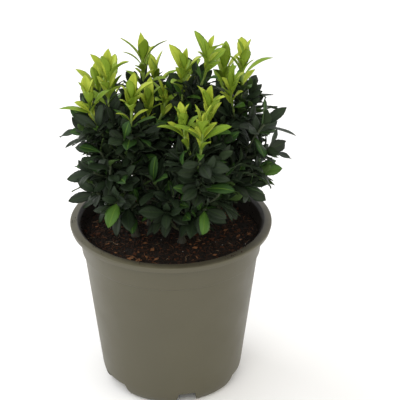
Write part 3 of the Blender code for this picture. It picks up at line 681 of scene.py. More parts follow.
def turned_mesh(name, profile, steps):
    """A closed mesh from a profile that starts and ends on the axis."""
    points = [(0.0, 0.0, profile[0].y), (0.0, 0.0, profile[-1].y)]
    for spot in profile[1:-1]:
        points += ring_points(spot.x, spot.y, steps)
    faces = ring_faces(len(profile) - 2, steps, 2)
    last = len(points) - steps
    for k in range(steps):
        after = (k + 1) % steps
        faces.append((0, 2 + after, 2 + k))
        faces.append((1, last + k, last + after))
    return mesh_from(name, points, faces)


def notch_cutters():
    """Tapered blocks for the drainage notches round the foot."""
    group = bpy.data.collections.new("notches")
    bpy.context.scene.collection.children.link(group)
    depth = WALL_LOW_RADIUS - NOTCH_INNER
    middle = NOTCH_INNER + depth
    for place, width in NOTCHES:
        azimuth = math.radians(place)
        bm = bmesh.new()
        bmesh.ops.create_cube(bm, size=1.0)
        for vert in bm.verts:
            top = vert.co.z > 0
            vert.co.x *= width * MM + (0.0 if top else 2 * NOTCH_FLARE)
            vert.co.y *= 2 * depth
            vert.co.z = NOTCH_HEIGHT if top else -NOTCH_HEIGHT
        top_edges = [edge for edge in bm.edges if all(vert.co.z > 0 for vert in edge.verts)]
        bmesh.ops.bevel(bm, geom=top_edges, offset=NOTCH_ROUNDING, segments=3, affect="EDGES")
        mesh = bpy.data.meshes.new("notch")
        bm.to_mesh(mesh)
        bm.free()
        cutter = bpy.data.objects.new("notch", mesh)
        cutter.location = (middle * math.sin(azimuth), -middle * math.cos(azimuth), 0.0)
        cutter.rotation_euler = (0.0, 0.0, azimuth)
        group.objects.link(cutter)
    return group


def build_pot():
    """The pot in fine steps, with its notches cut."""
    raw = link_object("raw pot", turned_mesh("pot", pot_profile(), POT_STEPS))
    cutters = notch_cutters()
    cut = raw.modifiers.new("Notches", "BOOLEAN")
    cut.operation = "DIFFERENCE"
    cut.operand_type = "COLLECTION"
    cut.collection = cutters
    cut.solver = "EXACT"
    depsgraph = bpy.context.evaluated_depsgraph_get()
    mesh = bpy.data.meshes.new_from_object(raw.evaluated_get(depsgraph))
    for item in list(cutters.objects) + [raw]:
        bpy.data.objects.remove(item, do_unlink=True)
    bpy.data.collections.remove(cutters)
    mesh.name = "pot_shell"
    mesh.materials.clear()
    mesh.shade_smooth()
    mesh.set_sharp_from_angle(angle=POT_CREASE)
    add_piece("pot_shell", mesh, [pot_material()], ["pot"])


# Compost


def crumb_height(x, y):
    """Height of the loose compost, with soft mounds, ripples and crumbs."""
    mound = math.sin(x / MOUND_LENGTHS[0] + 1.3) * math.cos(y / MOUND_LENGTHS[1] - 0.4)
    ripple = math.sin((x + y) / RIPPLE_LENGTHS[0]) * math.sin((x - y) / RIPPLE_LENGTHS[1])
    spot = Vector((x, y, 0.0)) / GRAIN_SIZE
    crumbs = noise.noise(spot) * 0.6 + noise.noise(spot * 2.3) * 0.4 + noise.noise(spot * 0.35) * 0.5
    return COMPOST_TOP + MOUND_HEIGHT * mound + RIPPLE_HEIGHT * ripple + GRAIN_HEIGHT * crumbs


def build_compost(tones):
    """A crumbly disc that fills the pot up to its level."""
    radius = wall_radius(COMPOST_TOP) - WALL_THICKNESS
    points = [(0.0, 0.0, crumb_height(0.0, 0.0))]
    for ring in range(1, COMPOST_RINGS + 1):
        reach = radius * (ring / COMPOST_RINGS)
        for x, y, _ in ring_points(reach, 0.0, COMPOST_STEPS, 0.5 * (ring % 2)):
            points.append((x, y, crumb_height(x, y)))
    for z in COMPOST_LEVELS:
        rim = wall_radius(z) - WALL_THICKNESS - 2 * GAP
        if z == COMPOST_LEVELS[-1]:
            rim -= FLOOR_SETBACK
        points += ring_points(rim, z, COMPOST_STEPS)
    faces = [(0, 1 + k, 1 + (k + 1) % COMPOST_STEPS) for k in range(COMPOST_STEPS)]
    for a, b, c, d in ring_faces(COMPOST_RINGS + len(COMPOST_LEVELS), COMPOST_STEPS, 1):
        faces.append((a, d, c, b))
    bottom = len(points) - COMPOST_STEPS
    faces.append(tuple(bottom + k for k in reversed(range(COMPOST_STEPS))))
    mesh = mesh_from("compost_bed", points, faces, smooth=False)
    add_piece("compost_bed", mesh, tones[:1], ["compost"])


class Heap:
    """Many small closed shapes gathered into one mesh."""

    def __init__(self):
        self.points = []
        self.faces = []
        self.tones = []

    def add(self, points, faces, tones):
        """Append one shape, with a tone for each of its faces or one for them all."""
        first = len(self.points)
        self.points += [tuple(point) for point in points]
        self.faces += [tuple(first + index for index in face) for face in faces]
        self.tones += tones if isinstance(tones, list) else [tones] * len(faces)

    def mesh(self, name, smooth=True):
        """The mesh of all the shapes."""
        return mesh_from(name, self.points, self.faces, self.tones, smooth)


CHIP_CORNERS = [Vector(c) for c in ((1, 0, 0), (-1, 0, 0), (0, 1, 0), (0, -1, 0), (0, 0, 1), (0, 0, -1))]
CHIP_FACES = [(0, 2, 4), (2, 1, 4), (1, 3, 4), (3, 0, 4), (2, 0, 5), (1, 2, 5), (3, 1, 5), (0, 3, 5)]


def chip(heap, rng, spot, size, flat, tone):
    """An irregular crumb or flake."""
    turn = Matrix.Rotation(rng.uniform(0, math.tau), 3, "Z") @ Matrix.Rotation(rng.uniform(-0.6, 0.6), 3, "X")
    points = []
    for corner in CHIP_CORNERS:
        point = corner + Vector([rng.uniform(-0.35, 0.35) for _ in range(3)])
        point = Vector((point.x, point.y * rng.uniform(0.5, 0.9), point.z * flat))
        points.append(spot + turn @ point * size * MM)
    heap.add(points, CHIP_FACES, tone)


def fibre(heap, rng, spot, length, radius, tone):
    """A thin curved strand lying on the crumbs."""
    heading = rng.uniform(0, math.tau)
    bend = rng.uniform(-1.2, 1.2)
    rise = rng.uniform(-0.05, 0.3)
    path = [spot]
    radii = []
    for k in range(FIBRE_POINTS):
        share = k / FIBRE_POINTS
        angle = heading + bend * share
        step = Vector((math.cos(angle), math.sin(angle), rise * (1 - 2 * share)))
        path.append(path[-1] + step * length * MM / FIBRE_POINTS)
        radii.append(radius * MM * (1 - 0.5 * abs(2 * k / (FIBRE_POINTS - 1) - 1)))
    heap.add(*tube(path[:-1], radii, 4), tone)


def scatter(rng, inset, lift):
    """A random place on the crumbs, kept in from the wall and above them by millimetres."""
    radius = wall_radius(COMPOST_TOP) - WALL_THICKNESS - inset * MM
    reach = radius * math.sqrt(rng.random())
    angle = rng.uniform(0, math.tau)
    x, y = reach * math.cos(angle), reach * math.sin(angle)
    return Vector((x, y, crumb_height(x, y) + lift * MM))


def dirt(heap, rng, angle, reach, z, sizes):
    """A dark crumb that clings to the pot."""
    spot = Vector((reach * math.cos(angle), reach * math.sin(angle), z))
    chip(heap, rng, spot, rng.uniform(*sizes), 0.7, rng.choice([0, 1]))


def build_bits(tones):
    """Crumbs, bark flakes, coir fibres and pale grains on the compost, and dirt on the rim."""
    rng = random.Random(SEED + 5)
    heap = Heap()
    for _ in range(CRUMBS):
        size = rng.uniform(*CRUMB_SIZES)
        tone = rng.choices([0, 1, 2], [5, 4, 2])[0]
        chip(heap, rng, scatter(rng, 1.2, 0.2), size, rng.uniform(0.4, 0.8), tone)
    for _ in range(FLAKES):
        spot = scatter(rng, 3.2, 0.5)
        chip(heap, rng, spot, rng.uniform(*FLAKE_SIZES), rng.uniform(0.15, 0.3), rng.choice([1, 2, 3]))
    for _ in range(FIBRES):
        spot = scatter(rng, 5.2, 0.5)
        tone = rng.choices([2, 3, 4], [6, 4, 1])[0]
        fibre(heap, rng, spot, rng.uniform(*FIBRE_LENGTHS), rng.uniform(*FIBRE_RADII), tone)
    for _ in range(PALE_GRAINS):
        chip(heap, rng, scatter(rng, 4.2, 0.8), rng.uniform(*PALE_SIZES), 0.8, 5)
    for _ in range(WALL_CRUMBS):
        angle = rng.gauss(*WALL_DIRT_ANGLES)
        z = min(COMPOST_TOP + abs(rng.gauss(0, WALL_DIRT_RISE)) * MM, POT_HEIGHT - WALL_DIRT_MARGIN)
        dirt(heap, rng, angle, wall_radius(z) - WALL_THICKNESS - 0.1 * MM, z, WALL_DIRT_SIZES)
    for middle, spread, count in RIM_CRUMBS:
        for _ in range(count):
            angle = math.radians(rng.gauss(middle, spread))
            reach = rng.uniform(RIM_INNER_RADIUS, RIM_RADIUS - 1 * MM)
            dirt(heap, rng, angle, reach, POT_HEIGHT, RIM_DIRT_SIZES)
    add_piece("compost_bits", heap.mesh("compost_bits", False), tones)


# Lines of growth, by the rule that the solids follow


def above_compost(x, y, height):
    """A point from millimetres across and above the compost."""
    return Vector((x * MM, y * MM, COMPOST_TOP + height * MM))


def stem_plan():
    """Centre line of every stem, from its flat cut to its fork, leaning to its boughs."""
    plan = {}
    for name, (x, y, height) in STEMS.items():
        tips = [tops[0] for stem, tops in MASSES.values() if stem == name]
        mean = Vector((sum(t[0] for t in tips), sum(t[1] for t in tips), 0.0)) / len(tips)
        lean = (mean - Vector((x, y, 0.0))) * STEM_LEAN
        foot = Vector((x * MM, y * MM, COMPOST_TOP + GAP))
        top = foot + Vector((lean.x * MM, lean.y * MM, height * MM))
        middle = foot + UP * height * MM * STEM_UPRIGHT
        plan[name] = curve_points([foot, middle, top], STEM_POINTS)
    return plan


def limb_plan(stems):
    """Bough and leading twig of every mass, on one smooth line from its stem's fork."""
    plan = {}
    for stem_name, stem in stems.items():
        fork, heading = point_at(stem, path_length(stem))
        group = [name for name, (owner, _) in MASSES.items() if owner == stem_name]

        def spread(name):
            x, y, _ = MASSES[name][1][0]
            return math.hypot(x * MM - fork.x, y * MM - fork.y)

        first = min(group, key=spread)
        group.sort(key=lambda name: (name != first, -MASSES[name][1][0][2]))
        for order, name in enumerate(group):
            top = above_compost(*MASSES[name][1][0])
            if order == 0:
                joint = fork
                start = fork + heading * GAP
                leave = heading
            else:
                below = path_length(stem) - FORK_MARGIN - FORK_STEP * (order - 1)
                joint, _ = point_at(stem, below)
                side = Vector((top.x - joint.x, top.y - joint.y, 0.0)).normalized()
                angle = LOW_LEAVE_ANGLE if name in CLIPPED else BOUGH_LEAVE_ANGLE
                leave = side * math.cos(angle) + UP * math.sin(angle)
                reach = STEM_TOP_RADIUS + FORK_CLEARANCE + GAP + BOUGH_BUTT_RADIUS * math.sin(angle)
                start = joint + side * reach
            span = (top - start).length
            out = Vector((top.x - start.x, top.y - start.y, 0.0))
            arrive = (UP * span + out * TOP_LEAN).normalized()
            if name in CLIPPED:
                arrive = (UP * span * LOW_TOP_RISE + out).normalized()
            leaving = start + leave * span * LEAVE_PULL
            arriving = top - arrive * span * ARRIVE_PULL
            line = curve_points([start, leaving, arriving, top], LINE_POINTS)
            total = path_length(line)
            split = total * SPLIT_FRACTION
            plan[name] = {"bough": cut_path(line, 0.0, split, BOUGH_POINTS),
                          "leader": cut_path(line, split + GAP, total, LEADER_POINTS),
                          "line": line, "joint": joint, "split": split}
    return plan


def side_plan(limbs):
    """Side twigs that end in the further tips a mass is given."""
    for name, limb in limbs.items():
        limb["sides"] = []
        for further in MASSES[name][1][1:]:
            tip = above_compost(*further)
            start, heading = point_at(limb["leader"], path_length(limb["leader"]) * SIDE_START)
            span = (tip - start).length
            out = (tip - start).normalized()
            leave = (heading * SIDE_LEAN + out).normalized()
            leaving = start + leave * span * SIDE_LEAVE_PULL
            arriving = tip - UP * span * SIDE_ARRIVE_PULL
            limb["sides"].append(curve_points([start, leaving, arriving, tip], SIDE_POINTS))


def segments(paths):
    """Starts and steps of all the straight pieces of some paths."""
    starts = np.array([tuple(a) for path in paths for a in path[:-1]])
    ends = np.array([tuple(b) for path in paths for b in path[1:]])
    return starts, ends - starts


def nearest(point, lines):
    """Distance from a point to the nearest straight piece."""
    starts, steps = lines
    offset = np.array(point) - starts
    share = (offset * steps).sum(1) / np.maximum((steps * steps).sum(1), 1e-18)
    return np.linalg.norm(offset - steps * np.clip(share, 0.0, 1.0)[:, None], axis=1).min()


def blade_corners(spot, points):
    """Corners of a leaf's flat outline, from a little way out from its twig."""
    left, right, middle, _, tip = points
    return [spot.lerp(middle, LEAF_FREE), left, tip, right]


def blade_tree(rows):
    """A tree of two triangles for each leaf's four corners."""
    faces = []
    for first in range(0, 4 * len(rows), 4):
        faces += [(first, first + 1, first + 2), (first, first + 2, first + 3)]
    return BVHTree.FromPolygons([corner for row in rows for corner in row], faces)


class Blades:
    """Leaves placed so far, so that a new one finds the gaps between them."""

    def __init__(self):
        self.middles = np.zeros((0, 3))
        self.corners = []

    def keep(self, spot, points):
        """Remember a leaf by its points."""
        self.corners.append(blade_corners(spot, points))
        self.middles = np.vstack([self.middles, np.array(points[2])[None]])

    def crosses(self, spot, points):
        """True where a leaf would cut through any other, or else it is remembered."""
        reach = np.linalg.norm(self.middles - np.array(points[2]), axis=1)
        near = [self.corners[k] for k in np.nonzero(reach < NEAR_LEAVES)[0]]
        if near and blade_tree(near).overlap(blade_tree([blade_corners(spot, points)])):
            return True
        self.keep(spot, points)
        return False


class Space:
    """What belongs to one mass: the room nearer its own lines than any other's."""

    def __init__(self, name, limbs, stems):
        self.own = segments([limbs[name]["leader"]] + limbs[name]["sides"])
        self.twigs = []
        self.blades = Blades()
        others = []
        for other, limb in limbs.items():
            if other != name:
                others += [limb["leader"]] + limb["sides"]
        self.others = segments(others)
        self.boughs = segments([limb["bough"] for limb in limbs.values()])
        self.stems = segments(list(stems.values()))

    def holds(self, points, margin=SPACE_MARGIN):
        """True where every point keeps to the space and off limbs, pot and compost."""
        twigs = segments(self.twigs) if self.twigs else None
        for point in points:
            over_rim = math.hypot(point.x, point.y) > RIM_REACH and point.z < POT_HEIGHT + RIM_MARGIN
            if point.z < COMPOST_TOP + COMPOST_MARGIN or over_rim:
                return False
            if twigs and nearest(point, twigs) < TWIG_CLEARANCE:
                return False
            if nearest(point, self.others) < nearest(point, self.own) + margin:
                return False
            if nearest(point, self.boughs) < BOUGH_BUTT_RADIUS + LIMB_MARGIN:
                return False
            if nearest(point, self.stems) < STEM_RADIUS + LIMB_MARGIN:
                return False
        return True


def leaf_points(base, along, face, length, width):
    """Left, right, middle, late and tip point of a leaf that folds up a little."""
    side = along.cross(face).normalized()
    middle = base + along * length * LEAF_WIDEST
    widest = middle + face * length * LEAF_FOLD
    late = base + along * length * LEAF_LATE
    return [widest + side * width / 2, widest - side * width / 2, middle, late, base + along * length]


def flat_side(heading):
    """A level direction square to a twig's heading."""
    flat = heading.cross(UP)
    return flat.normalized() if flat.length >= 0.05 else Vector((1.0, 0.0, 0.0))


def aside(heading, turn):
    """The level direction turned round a twig's heading."""
    return Matrix.Rotation(turn, 3, heading) @ flat_side(heading)


def quarter_turn(rng, jitter):
    """The turn from one leaf pair to the next."""
    return math.pi / 2 + rng.uniform(-jitter, jitter)


def leaf_axes(heading, out, angle):
    """Directions along a leaf and out of its face, at an angle in degrees to its twig."""
    lean = math.radians(angle)
    along = (heading * math.cos(lean) + out * math.sin(lean)).normalized()
    return along, (heading - along * heading.dot(along)).normalized()


def fit_leaf(spot, heading, out, angle, size, broad, space, crown=None, margin=SPACE_MARGIN):
    """Try a leaf as it grows, then turned and smaller, until it keeps to the space."""
    watcher = space.blades if crown is None else crown
    for turned, smaller in LEAF_TRIES:
        along, face = leaf_axes(heading, out, max(angle + turned, STEEPEST_ANGLE))
        length = size * smaller
        points = leaf_points(spot, along, face, length, length * broad)
        if space.holds(points, margin) and not watcher.crosses(spot, points):
            return spot, along, face, length, length * broad
    return None


def twig_leaves(twig, space, rng, clipped, vigour, bare):
    """Opposite pairs down a twig from its tip to its bare foot, each a quarter turn on."""
    leaves = []
    length = path_length(twig["path"])
    turn = rng.uniform(0.0, math.pi)
    down = 0.0
    pair = 0
    while down < length - bare:
        place = length - max(down, TOP_PAIR_DEPTH)
        spot, heading = point_at(twig["path"], place)
        young = pair < YOUNG_PAIRS
        angle = YOUNG_ANGLES[pair] if young else rng.uniform(*OLD_ANGLES)
        size = YOUNG_SIZES[pair] if young else rng.uniform(*OLD_SIZES)
        if clipped:
            angle = angle * LOW_OPENING[0] + LOW_OPENING[1]
        size *= vigour * rng.uniform(*SIZE_SPREAD) * MM
        broad = OLD_BREADTH if clipped or not young else YOUNG_BREADTH
        for half in HALVES:
            out = aside(heading, turn + half + rng.uniform(-SPIN_JITTER, SPIN_JITTER))
            lean = angle + rng.uniform(-ANGLE_JITTER, ANGLE_JITTER)
            leaf = fit_leaf(spot, heading, out, lean, size, broad, space)
            if leaf is not None:
                leaves.append((*leaf, pair, twig["kind"]))
        twig["nodes"].append(place)
        turn += quarter_turn(rng, TURN_JITTER)
        pair += 1
        down = PAIR_STEPS[pair] * vigour if pair < YOUNG_PAIRS else down + PAIR_STEP_OLD
    return leaves


def shoot_path(spot, heading, out, lean, reach, rise, count):
    """A short curved shoot out of a leaf axil."""
    leave = (heading * lean + out).normalized()
    tip = spot + leave * reach + UP * reach * rise
    return curve_points([spot, spot + leave * reach * 0.5, tip], count)


def side_shoots(leader, space, rng, most):
    """Short twigs from the leaf axils of the older part of a leader, the lowest first."""
    shoots = []
    length = path_length(leader)
    turn = rng.uniform(0.0, math.pi)
    distance = FIRST_SHOOT
    while distance < length - LAST_SHOOT and len(shoots) < most:
        spot, heading = point_at(leader, distance)
        for half in HALVES:
            out = aside(heading, turn + half)
            longest = rng.uniform(*SHOOT_REACH)
            for share in SHOOT_SHARES:
                path = shoot_path(spot, heading, out, SHOOT_LEAN, longest * share, SHOOT_RISE, SHOOT_POINTS)
                if space.holds(path[2:], SHOOT_MARGIN) and len(shoots) < most:
                    shoots.append(path)
                    break
        turn += quarter_turn(rng, SHOOT_TURN_JITTER)
        distance += SHOOT_STEP
    return shoots


def new_twig(path, butt, top, kind):
    """A twig with its two radii, its kind and the places of its leaf pairs."""
    return {"path": path, "butt": butt, "top": top, "kind": kind, "nodes": []}


def grow_mass(name, number, limbs, stems):
    """Twigs and leaves of one mass, worked out from its leader and its own seed."""
    rng = random.Random(SEED * 100 + number)
    space = Space(name, limbs, stems)
    clipped = name in CLIPPED
    limb = limbs[name]
    kind = "low" if clipped else "tall"
    twigs = [new_twig(limb["leader"], TWIG_BUTT_RADIUS, TWIG_TOP_RADIUS, kind)]
    for path in limb["sides"]:
        twigs.append(new_twig(path, SIDE_TWIG_RADIUS, TWIG_TOP_RADIUS, kind))
    space.twigs = [twig["path"] for twig in twigs]
    leaves = twig_leaves(twigs[0], space, rng, clipped, 1.0, LEADER_BARE)
    for side in twigs[1:]:
        leaves += twig_leaves(side, space, rng, clipped, SIDE_VIGOUR, SIDE_BARE)
    most = LOW_SHOOTS if clipped else TALL_SHOOTS
    for path in side_shoots(limb["leader"], space, rng, most):
        shoot = new_twig(path, SIDE_TWIG_RADIUS, TWIG_TOP_RADIUS, "shoot")
        space.twigs.append(path)
        more = twig_leaves(shoot, space, rng, True, SHOOT_VIGOUR, SHOOT_BARE)
        if len(more) < FEWEST_LEAVES:
            space.twigs.pop()
            continue
        twigs.append(shoot)
        leaves += more
    return {"twigs": twigs, "leaves": leaves, "space": space}


# Finer growth of the same kind


class Filler:
    """Finer growth of one mass, each leaf placed only where it fits into the whole crown."""

    def __init__(self, mass, crown, rng):
        self.mass = mass
        self.crown = crown
        self.rng = rng

    def pair(self, twig, down, turn, angle, size, age, broad):
        """A pair of leaves at a distance below a twig's tip."""
        spot, heading = point_at(twig["path"], path_length(twig["path"]) - down)
        for half in HALVES:
            out = aside(heading, turn + half + self.rng.uniform(-FINE_SPIN_JITTER, FINE_SPIN_JITTER))
            lean = angle + self.rng.uniform(-FINE_ANGLE_JITTER, FINE_ANGLE_JITTER)
            leaf = fit_leaf(spot, heading, out, lean, size * MM, broad, self.mass["space"],
                            self.crown, FINE_OVERLAP)
            if leaf is not None:
                self.mass["leaves"].append((*leaf, age, twig["kind"]))

    def tuft(self, twig):
        """Young leaves from the axils of a tuft's pairs, between the main ones."""
        turn = self.rng.uniform(0.0, math.pi)
        for down in AXIL_PLACES:
            angle = self.rng.uniform(*AXIL_ANGLES)
            size = self.rng.uniform(*AXIL_SIZES)
            self.pair(twig, down, turn, angle, size, 1, YOUNG_BREADTH)
            turn += quarter_turn(self.rng, FINE_TURN_JITTER)

    def fill(self, twig, down):
        """Leaves between a twig's main pairs, the lower ones as large as the old leaves."""
        turn = self.rng.uniform(0.0, math.pi)
        while down < path_length(twig["path"]) - SHOOT_BARE / 2:
            size = self.rng.uniform(*FINE_SIZES)
            angle = self.rng.uniform(*FINE_ANGLES)
            self.pair(twig, down, turn, angle, size, YOUNG_PAIRS, OLD_BREADTH)
            turn += quarter_turn(self.rng, FINE_TURN_JITTER)
            down += FINE_PAIR_STEP

    def shoots(self, leader, last):
        """Thin shoots from a leader's axils, each with up to four pairs of leaves."""
        length = path_length(leader["path"])
        turn = self.rng.uniform(0.0, math.pi)
        distance = FIRST_SHOOT / 2
        made = 0
        while distance < length - last and made < FINE_SHOOTS:
            spot, heading = point_at(leader["path"], distance)
            room = max(length - distance - SHOOT_HEADROOM, FINE_SHOOT_REACH[0])
            for half in HALVES:
                reach = min(self.rng.uniform(*FINE_SHOOT_REACH), room)
                path = shoot_path(spot, heading, aside(heading, turn + half), FINE_SHOOT_LEAN, reach,
                                  FINE_SHOOT_RISE, FINE_SHOOT_POINTS)
                if self.mass["space"].holds(path[3:], FINE_OVERLAP):
                    made += self.shoot(new_twig(path, *FINE_SHOOT_RADII, "shoot"))
            turn += quarter_turn(self.rng, FINE_TURN_JITTER)
            distance += FINE_SHOOT_STEP

    def shoot(self, twig):
        """One thin shoot with its pairs from the tip down, kept where two leaves find room."""
        leaves = self.mass["leaves"]
        before = len(leaves)
        length = path_length(twig["path"])
        turn = self.rng.uniform(0.0, math.pi)
        for down, angle, size in FINE_SHOOT_PAIRS:
            if down * MM > length - FINE_SHOOT_FOOT:
                break
            size *= self.rng.uniform(*FINE_SIZE_SPREAD)
            self.pair(twig, down * MM, turn, angle, size, YOUNG_PAIRS, OLD_BREADTH)
            twig["nodes"].append(length - down * MM)
            turn += math.pi / 2
        if len(leaves) < before + 2:
            del leaves[before:]
            return 0
        self.mass["twigs"].append(twig)
        self.mass["space"].twigs.append(twig["path"])
        return 1

    def buds(self):
        """Two small upright leaves that close each growing tip."""
        for twig in self.mass["twigs"]:
            if twig["kind"] != "tall":
                continue
            spot, heading = point_at(twig["path"], path_length(twig["path"]))
            turn = self.rng.uniform(0, math.pi)
            for half in HALVES:
                axes = leaf_axes(heading, aside(heading, turn + half), self.rng.uniform(*BUD_ANGLES))
                length = self.rng.uniform(*BUD_SIZES) * MM
                self.mass["leaves"].append((spot, *axes, length, length * BUD_BREADTH, 0, "tall"))


def long_twigs(mass):
    """The leader and the side twigs of a mass."""
    return [twig for twig in mass["twigs"] if twig["kind"] != "shoot"]


def grow_plant():
    """Every stem, limb, twig and leaf."""
    stems = stem_plan()
    limbs = limb_plan(stems)
    side_plan(limbs)
    masses = {}
    crown = Blades()
    for number, name in enumerate(MASSES):
        masses[name] = grow_mass(name, number, limbs, stems)
        for leaf in masses[name]["leaves"]:
            crown.keep(leaf[0], leaf_points(*leaf[:5]))
    for number, (name, mass) in enumerate(masses.items()):
        filler = Filler(mass, crown, random.Random(SEED * 31 + number))
        bare = name in BARE_STEMMED
        main_twigs = long_twigs(mass)
        if name not in CLIPPED:
            for twig in main_twigs:
                filler.tuft(twig)
        for twig in list(mass["twigs"]):
            filler.fill(twig, BARE_FIRST if bare and twig in main_twigs else FINE_FIRST[twig["kind"]])
        for twig in main_twigs:
            filler.shoots(twig, BARE_FIRST if bare else FINE_LAST)
        filler.buds()
    for number, mass in enumerate(masses.values()):
        filler = Filler(mass, crown, random.Random(SEED * 37 + number))
        for twig in long_twigs(mass):
            filler.shoots(twig, SECOND_LAST)
    return stems, limbs, masses


# Meshes of limbs and leaves


def tube(path, radii, sides, relief=0.0, seed=0.0):
    """A closed tapering tube along a path, with bark relief where it is given."""
    points = []
    across = flat_side((path[1] - path[0]).normalized())
    for k, spot in enumerate(path):
        ahead = path[min(k + 1, len(path) - 1)] - path[max(k - 1, 0)]
        heading = ahead.normalized()
        across = (across - heading * across.dot(heading)).normalized()
        other = heading.cross(across)
        for j in range(sides):
            angle = math.tau * j / sides
            x, y = math.cos(angle), math.sin(angle)
            radius = radii[k]
            if relief:
                ridge = noise.noise(Vector((x * 3, y * 3, spot.z * 90 + seed)))
                fine = noise.noise(Vector((x * 9, y * 9, spot.z * 400 + seed)))
                radius += relief * (ridge + 0.5 * fine)
            points.append(spot + across * radius * x + other * radius * y)
    faces = ring_faces(len(path), sides)
    faces.append(tuple(reversed(range(sides))))
    faces.append(tuple(len(points) - sides + j for j in range(sides)))
    return points, faces


def smooth_path(path, step):
    """A path resampled in even steps, rounded between its points."""
    length = path_length(path)
    rough = cut_path(path, 0.0, length, max(3, int(length / step) + 1))
    for _ in range(2):
        inner = [(a + b * 2 + c) / 4 for a, b, c in zip(rough, rough[1:], rough[2:])]
        rough = [rough[0]] + inner + [rough[-1]]
    return rough


def stem_tube(path, seed):
    """A rooted stem with a flare at its foot."""
    line = smooth_path([path[0] - UP * STEM_ROOT] + path, STEM_STEP)
    total = path_length(line)
    radii = []
    for k in range(len(line)):
        share = max(0.0, (total * k / (len(line) - 1) - STEM_ROOT) / (total - STEM_ROOT))
        radius = STEM_RADIUS + (STEM_TOP_RADIUS - STEM_RADIUS) * share
        radii.append(radius + (STEM_FOOT_RADIUS - STEM_RADIUS) * math.exp(-FLARE_DECAY * share))
    radii[-1] *= 0.8
    return tube(line, radii, STEM_SIDES, STEM_RELIEF, seed * 7.0)


def bough_tube(limb, seed):
    """A bough that grows out of its stem and carries on into the leading twig."""
    line = cut_path(limb["line"], 0.0, limb["split"] + 1.5 * MM, 20)
    line = smooth_path([limb["joint"]] + line, BOUGH_STEP)
    radii = []
    for k in range(len(line)):
        share = k / (len(line) - 1)
        collar = BOUGH_COLLAR * math.exp(-COLLAR_DECAY * share)
        radii.append(BOUGH_BUTT_RADIUS + (BOUGH_TIP_RADIUS - BOUGH_BUTT_RADIUS) * share + collar)
    return tube(line, radii, BOUGH_SIDES, BOUGH_RELIEF, seed * 3.0)


def build_limbs(kind, shape, limbs, names):
    """All the stems or all the boughs as one piece of fissured bark."""
    heap = Heap()
    for number, limb in enumerate(limbs.values()):
        heap.add(*shape(limb, number), 0)
    nodes = [f"{kind}_{name}" for name in names]
    add_piece(f"{kind}_bark", heap.mesh(f"{kind}_bark"), [bark_material(f"{kind} bark")], nodes)


def twig_shape(heap, twig):
    """One twig: swollen at its leaf pairs, lime green towards a growing tip."""
    line = smooth_path(twig["path"], TWIG_STEP)
    total = path_length(line)
    green = TALL_GREEN if twig["kind"] == "tall" else 0.0
    radii = []
    tones = []
    for k in range(len(line)):
        share = k / (len(line) - 1)
        near = min([abs(share * total - node) for node in twig["nodes"]] + [1.0])
        radius = twig["butt"] + (twig["top"] - twig["butt"]) * share
        radii.append(radius * (1 + NODE_SWELL * math.exp(-((near / NODE_LENGTH) ** 2))))
        left = total * (1 - share)
        tones += [0 if left < green * LIME_SHARE else 1 if left < green else 2] * TWIG_SIDES
    tones = tones[:-TWIG_SIDES]
    heap.add(*tube(line, radii, TWIG_SIDES), tones + [tones[0], tones[-1]])


def leaf_grid():
    """Faces of one closed leaf over its rows and columns, and which part each face is."""
    columns = len(LEAF_COLUMNS)
    top = np.arange((LEAF_ROWS + 1) * columns).reshape(-1, columns)
    under = top.copy()
    under[1:-1, 1:-1] = top.size + np.arange((LEAF_ROWS - 1) * (columns - 2)).reshape(-1, columns - 2)
    upper = np.stack([top[:-1, :-1], top[1:, :-1], top[1:, 1:], top[:-1, 1:]], -1)
    lower = np.stack([under[:-1, :-1], under[:-1, 1:], under[1:, 1:], under[1:, :-1]], -1)
    ribs = np.tile(np.arange(columns - 1) == columns // 2 - 1, LEAF_ROWS).astype(int)
    parts = np.stack([ribs, np.full_like(ribs, 2)], 1).ravel()
    return np.stack([upper, lower], 2).reshape(-1, 4), parts


def half_width(t, blunt, fullness):
    """Half breadth of a blade along its length: petiole, slow widening, then a blunter tip."""
    blade = np.clip((t - PETIOLE_SHARE) / (1 - PETIOLE_SHARE), 0.0, 1.0)
    return 0.5 * np.abs(np.sin(np.pi * blade ** blunt)) ** fullness


